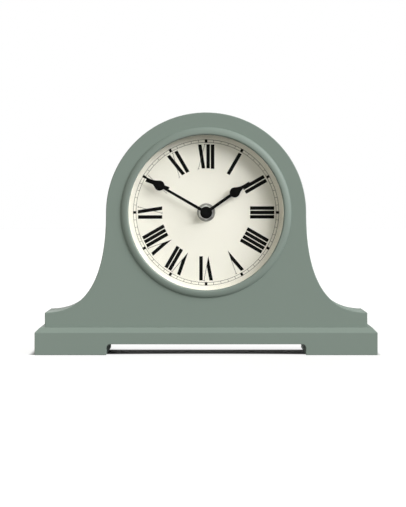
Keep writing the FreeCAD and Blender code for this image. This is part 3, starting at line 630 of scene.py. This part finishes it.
def cell_jacket():
    """Printed jacket with a band at the positive end and bare metal at both ends."""
    look = settings().movement
    material, tree, shader = blank("cell_jacket")
    place = place_of(tree)
    split = node(tree, "ShaderNodeSeparateXYZ", {0: place})
    low, high = low_corner("battery_cell").x, high_corner("battery_cell").x
    along = node(tree, "ShaderNodeMapRange", {
        "Value": split.outputs["X"], "From Min": low, "From Max": high,
    }).outputs[0]
    metal, white, grey = srgb(190, 188, 182), (1, 1, 1), (0.35, 0.35, 0.35)
    bands = ramp(tree, along, (
        (0.0, metal), (CAP_END, look.band), (BAND_END, srgb(214, 212, 206)),
        (LINE_END, look.jacket), (JACKET_END, metal),
    ), "CONSTANT")
    toned(tree, shader, place, bands, scale=120.0, amount=0.06)
    bare = ramp(tree, along, ((0.0, white), (CAP_END, grey), (JACKET_END, white)), "CONSTANT")
    tree.links.new(bare, shader.inputs["Metallic"])
    relief = placed_group(
        tree, skin(), Place=place, Wave_scale=160.0, Grit_scale=2400.0, Grit_share=0.1
    )
    embossed(tree, shader, relief["Height"], distance=0.00002)
    shone(tree, shader, relief["Grit"], least=0.24, most=0.36)
    return material


def wound_wire():
    """Enamelled wire wound in fine turns round an upright bobbin."""
    material, tree, shader = blank("wound_wire", Metallic=1.0, Roughness=0.32)
    place = place_of(tree)
    turns = node(tree, "ShaderNodeTexWave", {
        "Vector": place, "Scale": 900.0, "Distortion": 0.6, "Detail": 1.0,
    }, bands_direction="Z")
    copper = with_alpha(settings().movement.copper)
    toned(tree, shader, place, copper, scale=500.0, amount=0.35)
    embossed(tree, shader, turns.outputs["Fac"], distance=0.00004)
    return material


def laminate():
    """Green circuit board with broad copper tracks under its lacquer."""
    material, tree, shader = blank("board_laminate", Roughness=0.35)
    tint = settings().movement.laminate
    bricks = node(tree, "ShaderNodeTexBrick", {
        "Vector": stretched(tree, Rotation=(math.pi / 2, 0, 0)),
        "Scale": 260.0, "Mortar Size": 0.035,
        "Color1": with_alpha(tint), "Color2": with_alpha([part * 1.2 for part in tint]),
        "Mortar": with_alpha([part * 2.4 + 0.02 for part in tint]),
    })
    toned(tree, shader, place_of(tree), bricks.outputs["Color"], scale=200.0, amount=0.15)
    embossed(tree, shader, bricks.outputs["Fac"], distance=0.00003)
    return material


def dress(nodes, material):
    """Give CAD nodes, named in one string, a material; all others keep the CAD's own."""
    for name in nodes.split():
        mesh = frame["nodes"][name].data
        mesh.materials.clear()
        mesh.materials.append(material)


def coat(nodes, name, tint, rough, **values):
    """Give CAD nodes, named in one string, a coated finish of their own."""
    dress(nodes, coated(name, tint, rough, **values))


def finish(piece, body, slot, *materials):
    """Materials and body of a finished piece; the slot is not used."""
    piece.data.materials.clear()
    for material in materials:
        piece.data.materials.append(material)
    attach(piece, body)


# Case

# Handle length of a quarter circle drawn as one curve, as a share of its radius
CIRCLE_PULL = 4 / 3 * (math.sqrt(2) - 1)
# Angle under which the painted pieces' faces are shaded as one
PAINT_SMOOTH = 40.0
# Least part along Y of the normal of a face that counts as facing front or back
FACING = 0.9
# Width beyond an opening's edge that still counts as inside it
OPENING_MARGIN = 0.0005


def case_outline(case):
    """Flat outline of the boards, a curve made into a mesh, in the frame's front plane."""
    half = high_corner("case_core").x
    foot = high_corner("base_plinth").z
    arch = high_corner("case_core").z - DIAL.z
    shoulder = case.shoulder_height
    pull = CIRCLE_PULL * arch
    upper = case.upper_pull * (DIAL.z - shoulder)
    lower = case.lower_pull * (half - arch)
    side_points = [
        ((half, foot), None, None),
        ((half, shoulder), None, (half - lower, shoulder)),
        ((arch, DIAL.z), (arch, DIAL.z - upper), (arch, DIAL.z + pull)),
    ]
    top = ((0, DIAL.z + arch), (pull, DIAL.z + arch), (-pull, DIAL.z + arch))
    points = side_points + [top]
    for place, before, after in reversed(side_points):
        points.append([
            corner and (-corner[0], corner[1]) for corner in (place, after, before)
        ])
    deselect()
    bpy.ops.curve.primitive_bezier_curve_add(location=(0, 0, 0))
    curve = bpy.context.object
    curve.data.dimensions = "2D"
    curve.data.fill_mode = "NONE"
    curve.data.resolution_u = 48
    spline = curve.data.splines[0]
    spline.bezier_points.add(len(points) - len(spline.bezier_points))
    spline.use_cyclic_u = True
    for point, (place, before, after) in zip(spline.bezier_points, points):
        point.handle_left_type = "FREE" if before else "VECTOR"
        point.handle_right_type = "FREE" if after else "VECTOR"
        point.co = (*place, 0)
        if before:
            point.handle_left = (*before, 0)
        if after:
            point.handle_right = (*after, 0)
    curve.rotation_euler = (math.pi / 2, 0, 0)
    hold(curve)
    bpy.ops.object.convert(target="MESH")
    return named("outline")


def case_board(cad_node, case, eased_depth):
    """Board with the depth of its CAD node; one face's outline may be eased."""
    low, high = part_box(cad_node)
    foot = high_corner("base_plinth").z
    half_width = high_corner("case_core").x
    board = case_outline(case)
    edit_all()
    bpy.ops.mesh.remove_doubles(threshold=NEAR)
    bpy.ops.mesh.edge_face_add()
    bpy.ops.transform.translate(value=(0, low.y, 0))
    bpy.ops.mesh.extrude_region_move(TRANSFORM_OT_translate={"value": (0, high.y - low.y, 0)})
    bpy.ops.mesh.select_all(action="SELECT")
    bpy.ops.mesh.normals_make_consistent(inside=False)
    bpy.ops.object.mode_set(mode="OBJECT")

    def soft(ends):
        at_shoulder = all(abs(end.z - case.shoulder_height) < NEAR for end in ends)
        at_corner = all(abs(abs(end.x) - half_width) < NEAR for end in ends)
        if at_shoulder and at_corner:
            return True
        if eased_depth is None or max(end.z for end in ends) < foot + NEAR:
            return False
        return all(abs(end.y - eased_depth) < NEAR for end in ends)

    bevel_edges(board, soft, offset=case.edge_ease, segments=4, profile=0.5)
    return named("painted_" + cad_node)


def bare_openings(board, case):
    """Second material on the faces inside the openings."""
    front = low_corner("front_panel").y + case.edge_ease
    back = high_corner("back_panel").y - case.edge_ease
    widest = case.dial_opening + OPENING_MARGIN
    for face in board.data.polygons:
        away = math.hypot(face.center.x, face.center.z - DIAL.z)
        inside = away < widest and front < face.center.y < back
        facing = abs(face.normal.y) > FACING
        if inside and (not facing or away < case.core_bore):
            face.material_index = 1


class CLOCK_OT_case_boards(bpy.types.Operator):
    """Shape the four glued boards of the body and paint them"""
    bl_idname = "clock.case_boards"
    bl_label = "Case boards"

    def execute(self, context):
        case = settings().case
        front = low_corner("front_panel").y
        back = high_corner("back_panel").y
        boards = (
            ("front_panel", front, case.dial_opening),
            ("dial_backer", None, case.movement_hole),
            ("case_core", None, case.core_bore),
            ("back_panel", back, case.back_opening),
        )
        for cad_node, eased_depth, hole in boards:
            board = case_board(cad_node, case, eased_depth)
            low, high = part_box(cad_node)
            cut(board, round_cutter(hole, low.y - PAST, high.y + PAST))
            smooth(board, PAINT_SMOOTH)
            finish(board, "case", "painted_case", case_paint(), bare_board())
            bare_openings(board, case)
            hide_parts(cad_node)
        dress("case_dowels", wood("dowel_beech", srgb(214, 178, 128)))
        return {"FINISHED"}


# Countersunk holes under the plinth
SCREW_HEAD = 0.0042
SCREW_SHANK = 0.0022
SCREW_SINK = 0.0028
SCREW_HEAD_MIDDLE = 0.0013


class CLOCK_OT_plinth(bpy.types.Operator):
    """Shape the chamfered plinth with its cut-out and countersunk holes"""
    bl_idname = "clock.plinth"
    bl_label = "Plinth"

    def execute(self, context):
        case = settings().case
        low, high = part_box("base_plinth")
        size = high - low
        plinth = block("painted_plinth", (low + high) / 2, size)
        bevel_edges(
            plinth, lambda ends: min(end.z for end in ends) > high.z - NEAR,
            offset=case.chamfer, segments=1,
        )
        gap_size = (case.gap_width, size.y + 2 * PAST, 2 * case.gap_height)
        gap = block("cutter", (0, 0, 0), gap_size)
        bevel_edges(
            gap, lambda ends: min(end.z for end in ends) > 0 and abs(ends[0].x - ends[1].x) < NEAR,
            offset=case.gap_corner, segments=8,
        )
        cut(plinth, gap)
        modify(
            plinth, "BEVEL", width=case.plinth_ease, segments=3,
            limit_method="ANGLE", angle_limit=math.radians(30), use_clamp_overlap=True,
        )
        head = low_corner("base_screws").z + SCREW_HEAD_MIDDLE
        for n in (-1, 0, 1):
            deselect()
            bpy.ops.mesh.primitive_cone_add(
                vertices=48, radius1=SCREW_HEAD, radius2=SCREW_SHANK, depth=SCREW_SINK,
                location=(n * case.screw_spacing, 0, head),
            )
            cut(plinth, named("cutter"))
        smooth(plinth, PAINT_SMOOTH)
        finish(plinth, "case", "painted_case", case_paint())
        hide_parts("base_plinth")
        coat("base_screws", "screw_zinc", srgb(176, 176, 168), 0.38,
             waves=900.0, drift=0.12, drift_scale=300.0, metallic=1.0)
        return {"FINISHED"}


class CLOCK_OT_bezel(bpy.types.Operator):
    """Turn the painted bezel and dress the glass"""
    bl_idname = "clock.bezel"
    bl_label = "Bezel and glass"

    def execute(self, context):
        case = settings().case
        low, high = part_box("bezel_ring")
        outer = high.x
        crown_front = low.y
        panel = low_corner("front_panel").y
        side_front = panel - case.bezel_side
        lip_front = crown_front + case.bezel_lip_drop
        glass_front = low_corner("glass_lens").y
        lip, crown = case.bezel_lip, case.bezel_crown
        profile = [(outer, panel), (outer, side_front)]
        profile += crown_sweep((outer, side_front), (crown, crown_front), steps=16)
        profile += rounding((crown, crown_front), (lip, crown_front), (lip, lip_front), steps=10)
        profile += [
            (lip, glass_front), (case.glass_seat, glass_front),
            (case.glass_seat, high.y), (case.spigot, high.y),
            (case.spigot, panel), (outer, panel),
        ]
        bezel = turned("painted_bezel", profile, steps=288, degrees=PAINT_SMOOTH)
        finish(bezel, "case", "painted_case", bezel_paint())
        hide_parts("bezel_ring")
        dress("glass_lens", clear_glass())
        return {"FINISHED"}


# Dial

# Sideways reach of the slanting strokes, as shares of the letters' pitch
X_LEAN_SHARE = 0.43
X_HAIR_SHARE = 0.73
V_LEAN_SHARE = 1.055
V_HAIR_SHARE = 1.01


class DialPlacer:
    """Places flat marks on the dial by hour angle, sideways offset and radius."""

    def __init__(self, dial, turn):
        self.dial = dial
        self.turn = turn
        self.depth = DIAL_FRONT - dial.print_height / 2

    def at(self, side, radius):
        """Point at a distance from the dial's centre and beside the hour's line."""
        out = math.sqrt(radius * radius - side * side)
        return Vector((
            DIAL.x + side * math.cos(self.turn) + out * math.sin(self.turn),
            self.depth,
            DIAL.z - side * math.sin(self.turn) + out * math.cos(self.turn),
        ))

    def line(self, start, end, width, beyond=0.0):
        """Straight stroke between two places given as side and radius."""
        first, last = self.at(*start), self.at(*end)
        run = last - first
        size = (width, self.dial.print_height, run.length + 2 * beyond)
        return bar((first + last) / 2, size, math.atan2(run.x, run.z))

    def slanted(self, foot, top, width):
        """Stroke whose ends are level with the dial's rings though it leans."""
        first, last = self.at(*foot), self.at(*top)
        outward = Vector((math.sin(self.turn), 0, math.cos(self.turn)))
        run = last - first
        upright = run.dot(outward) / run.length
        piece = self.line(foot, top, width * upright, width)
        trim(piece, last, outward)
        return trim(piece, first, -outward)

    def hairline(self, foot, top):
        """Thin stroke with a short bar across its outer end."""
        side, radius = top
        half = self.dial.serif / 2
        return [
            self.line(foot, top, self.dial.hairline),
            self.line((side - half, radius), (side + half, radius), self.dial.hairline),
        ]

    def letter(self, middle_side, kind):
        """Thick and thin strokes of one letter at a distance beside the hour's line."""
        dial = self.dial
        outer, inner = dial.numeral_outer, dial.numeral_inner
        if kind == "I":
            upright = self.line((middle_side, inner), (middle_side, outer), dial.stroke)
            return [upright], []
        if kind == "X":
            lean, hair = X_LEAN_SHARE * dial.pitch, X_HAIR_SHARE * dial.pitch
            leaning = self.slanted(
                (middle_side + lean, inner), (middle_side - lean, outer), dial.stroke)
            foot, top = (middle_side - hair, inner), (middle_side + hair, outer)
            half = dial.serif / 2
            thin = self.hairline(foot, top)
            thin.append(self.line((foot[0] - half, inner), (foot[0] + half, inner), dial.hairline))
            return [leaning], thin
        foot_side = middle_side + dial.stroke / 2
        top_side = foot_side - V_LEAN_SHARE * dial.pitch
        leaning = self.slanted((foot_side, inner), (top_side, outer), dial.stroke)
        foot, top = (middle_side, inner), (middle_side + V_HAIR_SHARE * dial.pitch, outer)
        run = self.at(*top) - self.at(*foot)
        trim(leaning, self.at(*foot), Vector((run.z, 0, -run.x)))
        return [leaning], self.hairline(foot, top)


# Letters of each hour's numeral with their places in stroke pitches beside the
# hour's line, the middle of an I or X and the foot of a V
NUMERALS = (
    ((-1.03, "X"), (0.47, "I"), (1.48, "I")),
    ((0.0, "I"),),
    ((-0.516, "I"), (0.516, "I")),
    ((-1.0, "I"), (0.0, "I"), (1.0, "I")),
    ((-1.49, "I"), (-0.49, "I"), (0.5, "I"), (1.5, "I")),
    ((0.04, "V"),),
    ((-0.53, "V"), (1.165, "I")),
    ((-1.04, "V"), (0.665, "I"), (1.65, "I")),
    ((-1.48, "V"), (0.15, "I"), (1.165, "I"), (2.155, "I")),
    ((-1.055, "I"), (0.56, "X")),
    ((0.0, "X"),),
    ((-0.54, "X"), (1.0, "I")),
)


class CLOCK_OT_dial(bpy.types.Operator):
    """Print the dial's numerals, hour blocks and minute rings"""
    bl_idname = "clock.dial"
    bl_label = "Dial"

    def execute(self, context):
        dial = settings().dial
        thick, thin = [], []
        for hour, letters in enumerate(NUMERALS):
            placer = DialPlacer(dial, math.radians(30 * hour))
            for offset, kind in letters:
                bold, fine = placer.letter(offset * dial.pitch, kind)
                thick += bold
                thin += fine
            foot, top = (0, dial.block_inner), (0, dial.block_outer)
            thick.append(placer.line(foot, top, dial.block_width))
        for minute in range(60):
            if minute % 5:
                placer = DialPlacer(dial, math.radians(6 * minute))
                foot, top = (0, dial.inner_ring), (0, dial.outer_ring)
                thin.append(placer.line(foot, top, dial.ring_line))
        ink = coated("dial_ink", dial.ink, 0.6, waves=1200.0, depth=0.000004, drift=0.1,
                     specular=0.1)
        finish(joined("dial_numerals", thick), "case", "dial_enamel", ink)
        back = DIAL_FRONT
        front = back - dial.print_height
        for radius in (dial.inner_ring, dial.outer_ring):
            inside, outside = radius - dial.ring_line / 2, radius + dial.ring_line / 2
            thin.append(turned("ring", [
                (inside, back), (outside, back), (outside, front), (inside, front), (inside, back),
            ], steps=240))
        fine_ink = coated("hairline_ink", dial.hairline_ink, 0.6, waves=1200.0, depth=0.000004)
        finish(joined("dial_hairlines", thin), "case", "dial_enamel", fine_ink)
        return {"FINISHED"}


class CLOCK_OT_hands(bpy.types.Operator):
    """Dress the hands, their cap and the washer under the nut"""
    bl_idname = "clock.hands"
    bl_label = "Hands and washer"

    def execute(self, context):
        coat("hour_hand minute_hand hand_cap", "hand_lacquer",
             settings().dial.hand_paint, 0.5, waves=800.0, grit=3600.0, depth=0.000006,
             drift=0.12, drift_scale=120.0, specular=0.12)
        dress("dial_washer", machined("washer_steel", srgb(150, 149, 147), 0.4))
        return {"FINISHED"}


# Movement

# Moulded marks: a plus and a minus over the cell, an arrow bent round the knob
MARK_ARM = 0.0032
MARK_ABOVE_CELL = 0.0042
PLUS_FROM_END = 0.0075
MINUS_FROM_END = 0.0055
ARROW_RADIUS = 0.0088
ARROW_FROM, ARROW_TO = 40, 140
ARROW_STEPS = 10
ARROW_OVERLAP = 1.04
BARB_LEAN = 0.45
BARB_HALF = 0.0011


class CLOCK_OT_movement(bpy.types.Operator):
    """Dress the housing, the knob and the gear train, and add the moulded marks"""
    bl_idname = "clock.movement"
    bl_label = "Movement"

    def execute(self, context):
        look = settings().movement
        coat("front_housing rear_housing", "moulded_black", look.housing, 0.55,
             waves=1800.0, grit=5000.0, grit_share=0.6, depth=0.00002, drift=0.08)
        coat("setting_knob setting_shaft", "knob_black", srgb(32, 32, 33), 0.4,
             waves=900.0, drift=0.1)
        coat("hour_wheel motion_wheel third_wheel seconds_wheel intermediate_wheel",
             "wheel_acetal", look.wheels, 0.38,
             waves=700.0, depth=0.000006, drift=0.06, drift_scale=200.0)
        coat("train_plate", "plate_grey", srgb(120, 122, 124), 0.5,
             waves=1500.0, depth=0.00002)
        coat("rotor_pinion", "rotor_blue", srgb(54, 88, 148), 0.36,
             waves=700.0, depth=0.000006)
        coat("rotor_magnet", "magnet_black", srgb(48, 47, 50), 0.5,
             waves=2600.0, metallic=0.6)
        self.marks(look)
        return {"FINISHED"}

    def marks(self, look):
        """Raised plus and minus over the cell's ends and a bent arrow at the knob."""
        depth = high_corner("rear_housing").y + look.mark_height / 2
        pieces = []

        def mark(x, z, reach, turn=0.0):
            size = (look.mark_width, look.mark_height, reach)
            pieces.append(bar((x, depth, z), size, turn))

        cell_low, cell_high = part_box("battery_cell")
        above = cell_high.z + MARK_ABOVE_CELL
        mark(cell_low.x + PLUS_FROM_END, above, MARK_ARM)
        mark(cell_low.x + PLUS_FROM_END, above, MARK_ARM, math.pi / 2)
        mark(cell_high.x - MINUS_FROM_END, above, MARK_ARM, math.pi / 2)
        step = math.radians((ARROW_TO - ARROW_FROM) / ARROW_STEPS)
        tip = math.radians(ARROW_FROM)
        for n in range(ARROW_STEPS):
            turn = tip + (n + 0.5) * step
            mark(
                KNOB.x + ARROW_RADIUS * math.cos(turn), KNOB.z + ARROW_RADIUS * math.sin(turn),
                ARROW_RADIUS * step * ARROW_OVERLAP, math.pi - turn,
            )
        tip_x = KNOB.x + ARROW_RADIUS * math.cos(tip)
        tip_z = KNOB.z + ARROW_RADIUS * math.sin(tip)
        for lean in (BARB_LEAN, -BARB_LEAN):
            back = tip + math.pi / 2 + lean
            mark(
                tip_x + BARB_HALF * math.cos(back), tip_z + BARB_HALF * math.sin(back),
                2 * BARB_HALF, math.pi / 2 - back,
            )
        marks = joined("housing_marks", pieces)
        mark_skin = coated("moulded_marks", srgb(44, 44, 45), 0.5, waves=1500.0)
        finish(marks, "case", "housing_plastic", mark_skin)


class CLOCK_OT_battery(bpy.types.Operator):
    """Dress the cell and its contacts"""
    bl_idname = "clock.battery"
    bl_label = "Battery"

    def execute(self, context):
        dress("battery_cell", cell_jacket())
        coat("positive_contact negative_contact", "contact_nickel", srgb(196, 192, 180), 0.3,
             waves=900.0, metallic=1.0, drift=0.1, drift_scale=300.0)
        return {"FINISHED"}


class CLOCK_OT_circuit(bpy.types.Operator):
    """Dress the motor's coil, the circuit board and its crystal"""
    bl_idname = "clock.circuit"
    bl_label = "Motor and circuit"

    def execute(self, context):
        coat("coil_bobbin", "bobbin_nylon", srgb(222, 212, 184), 0.45, waves=900.0)
        dress("coil_winding", wound_wire())
        dress("circuit_board", laminate())
        coat("crystal_can", "crystal_tin", srgb(202, 202, 200), 0.25,
             waves=900.0, metallic=1.0)
        return {"FINISHED"}


# Stage

KEY_FROM = (0.72, -0.49, 0.49)
FILL_FROM = (-0.2, -0.95, 0.14)
REAR_FROM = (-0.2, 0.93, 0.3)
LAMP_DISTANCE = 2
WARM_WHITE = (1.0, 0.985, 0.86)
FLOOR_SIZE = 12

# Painted shadow on the floor under the clock, a mask that takes the floor's glow away:
# its front edge, which bows towards the camera at the sides, its back edge, its shift
# to the left, its soft margin and the glow of the floor beyond it
SHADOW_INSET = 0.016
SHADOW_BOW = 0.5
SHADOW_BACK = 0.015
SHADOW_LEFT = 0.0015
SHADOW_FROM, SHADOW_TO = -0.001, 0.006
FLOOR_GLOW = 0.8

# Part of the surroundings that glossy and passed-on rays see, by their depth direction
DARK_FRONT, BRIGHT_BACK = -0.75, 0.2
BACK_BRIGHTNESS = 0.5


def sun(name, strength, softness, towards_lamp):
    """Lamp whose light comes from a direction."""
    deselect()
    bpy.ops.object.light_add(type="SUN", location=Vector(towards_lamp) * LAMP_DISTANCE)
    lamp = bpy.context.object
    lamp.name = name
    lamp.data.energy = strength
    lamp.data.angle = softness
    travel = -Vector(towards_lamp)
    lamp.rotation_euler = travel.to_track_quat("-Z", "Y").to_euler()
    return lamp


def seen_rays(tree):
    """1 for camera, glossy and transmission rays, else 0."""
    path = node(tree, "ShaderNodeLightPath").outputs
    shown = maths(tree, path["Is Camera Ray"], path["Is Glossy Ray"], "MAXIMUM")
    return maths(tree, shown, path["Is Transmission Ray"], "MAXIMUM")


def floor_material():
    """White floor whose glow a mask takes away under the clock, painting the outline of its
    shadow.
    """
    material, tree, shader = blank(
        "studio_floor", Base_Color=(0.2, 0.2, 0.2, 1), Roughness=0.9,
        Specular_IOR_Level=0.1, Emission_Color=(1, 1, 1, 1),
    )
    split = node(tree, "ShaderNodeSeparateXYZ", {0: place_of(tree)})
    half_width = high_corner("base_plinth").x
    front = low_corner("base_plinth").y + SHADOW_INSET
    sideways = maths(tree, split.outputs["X"], SHADOW_LEFT)
    across = maths(tree, sideways, 0, "ABSOLUTE")
    squared = maths(tree, across, across, "MULTIPLY")
    forward = maths(tree, squared, SHADOW_BOW, "MULTIPLY")
    edge = maths(tree, front, forward, "SUBTRACT")
    past_side = maths(tree, across, half_width, "SUBTRACT")
    past_front = maths(tree, edge, split.outputs["Y"], "SUBTRACT")
    past_back = maths(tree, split.outputs["Y"], SHADOW_BACK, "SUBTRACT")
    # Painted shadow mask: low under the clock, where the glow is taken away and the dark base
    # shows
    away = maths(tree, maths(tree, past_side, past_front, "MAXIMUM"), past_back, "MAXIMUM")
    glow = node(tree, "ShaderNodeMapRange", {
        "Value": away, "From Min": SHADOW_FROM, "From Max": SHADOW_TO,
        "To Min": 0.0, "To Max": FLOOR_GLOW,
    }, interpolation_type="SMOOTHSTEP")
    power = maths(tree, glow.outputs[0], seen_rays(tree), "MULTIPLY")
    tree.links.new(power, shader.inputs["Emission Strength"])
    return material


def studio_world(ambient):
    """White where the camera sees it, darker on the camera's side in reflections."""
    world = bpy.data.worlds.new("studio")
    bpy.context.scene.world = world
    world.use_nodes = True
    tree = world.node_tree
    background = tree.nodes["Background"]
    path = node(tree, "ShaderNodeLightPath").outputs
    tint = node(tree, "ShaderNodeMix", {0: path["Is Diffuse Ray"]}, data_type="RGBA")
    tint.inputs["A"].default_value = (1, 1, 1, 1)
    tint.inputs["B"].default_value = with_alpha(WARM_WHITE)
    tree.links.new(tint.outputs["Result"], background.inputs["Color"])
    direction = node(tree, "ShaderNodeTexCoord").outputs["Generated"]
    split = node(tree, "ShaderNodeSeparateXYZ", {0: direction})
    behind = node(tree, "ShaderNodeMapRange", {
        "Value": split.outputs["Y"], "From Min": DARK_FRONT, "From Max": BRIGHT_BACK,
        "To Min": 0.0, "To Max": BACK_BRIGHTNESS,
    }).outputs[0]
    bent = maths(tree, path["Is Glossy Ray"], path["Is Transmission Ray"], "MAXIMUM")
    scattered = maths(tree, path["Diffuse Depth"], 1.0, "MINIMUM")
    unscattered = maths(tree, 1.0, scattered, "SUBTRACT")
    passed_on = maths(tree, bent, unscattered, "MULTIPLY")
    indirect = maths(tree, passed_on, behind, "MULTIPLY")
    shown = maths(tree, path["Is Camera Ray"], indirect, "MAXIMUM")
    diffuse = maths(tree, 1.0, passed_on, "SUBTRACT")
    soft = maths(tree, diffuse, ambient, "MULTIPLY")
    power = maths(tree, shown, soft, "MAXIMUM")
    tree.links.new(power, background.inputs["Strength"])


class CLOCK_OT_stage(bpy.types.Operator):
    """Set up the floor, the lamps, the surroundings and the camera"""
    bl_idname = "clock.stage"
    bl_label = "Stage"

    def execute(self, context):
        stage = settings().stage
        deselect()
        bpy.ops.mesh.primitive_plane_add(size=FLOOR_SIZE, location=(0, 0, 0))
        floor = named("studio_floor")
        floor.data.materials.append(floor_material())
        floor.visible_glossy = False
        floor.visible_transmission = False
        studio_world(stage.ambient)
        sun("key", stage.key, stage.key_softness, KEY_FROM)
        fill = sun("fill", stage.fill, stage.fill_softness, FILL_FROM)
        fill.data.color = WARM_WHITE
        sun("rear", stage.back, stage.back_softness, REAR_FROM)
        deselect()
        bpy.ops.object.camera_add(
            location=(0, -stage.camera_distance, stage.camera_height),
            rotation=(math.pi / 2, 0, 0),
        )
        camera = context.object
        camera.name = "camera"
        camera.data.sensor_fit = "VERTICAL"
        camera.data.sensor_height = 36.0
        camera.data.lens = stage.lens
        camera.data.shift_x = stage.across
        camera.data.shift_y = stage.upward
        camera.data.clip_start = 0.01
        camera.data.clip_end = 50
        context.scene.camera = camera
        context.scene.view_settings.view_transform = "Standard"
        return {"FINISHED"}


OPERATORS = (
    CLOCK_OT_case_boards, CLOCK_OT_plinth, CLOCK_OT_bezel, CLOCK_OT_dial, CLOCK_OT_hands,
    CLOCK_OT_movement, CLOCK_OT_battery, CLOCK_OT_circuit, CLOCK_OT_stage,
)


class CLOCK_PT_sidebar(bpy.types.Panel):
    """Sidebar panel that lists the clock's pieces"""
    bl_idname = "CLOCK_PT_sidebar"
    bl_label = "Shelf clock"
    bl_space_type = "VIEW_3D"
    bl_region_type = "UI"
    bl_category = "Shelf clock"

    def draw(self, context):
        for operator in OPERATORS:
            self.layout.operator(operator.bl_idname)


GROUPS = (CaseSettings, DialSettings, MovementSettings, StageSettings, ClockSettings)
CLASSES = GROUPS + OPERATORS + (CLOCK_PT_sidebar,)


def register():
    for made in CLASSES:
        bpy.utils.register_class(made)
    bpy.types.Scene.shelf_clock = PointerProperty(type=ClockSettings)


def unregister():
    del bpy.types.Scene.shelf_clock
    for made in reversed(CLASSES):
        bpy.utils.unregister_class(made)


def main():
    register()
    for operator in OPERATORS:
        group, name = operator.bl_idname.split(".")
        getattr(getattr(bpy.ops, group), name)()


if __name__ == "__main__":
    main()
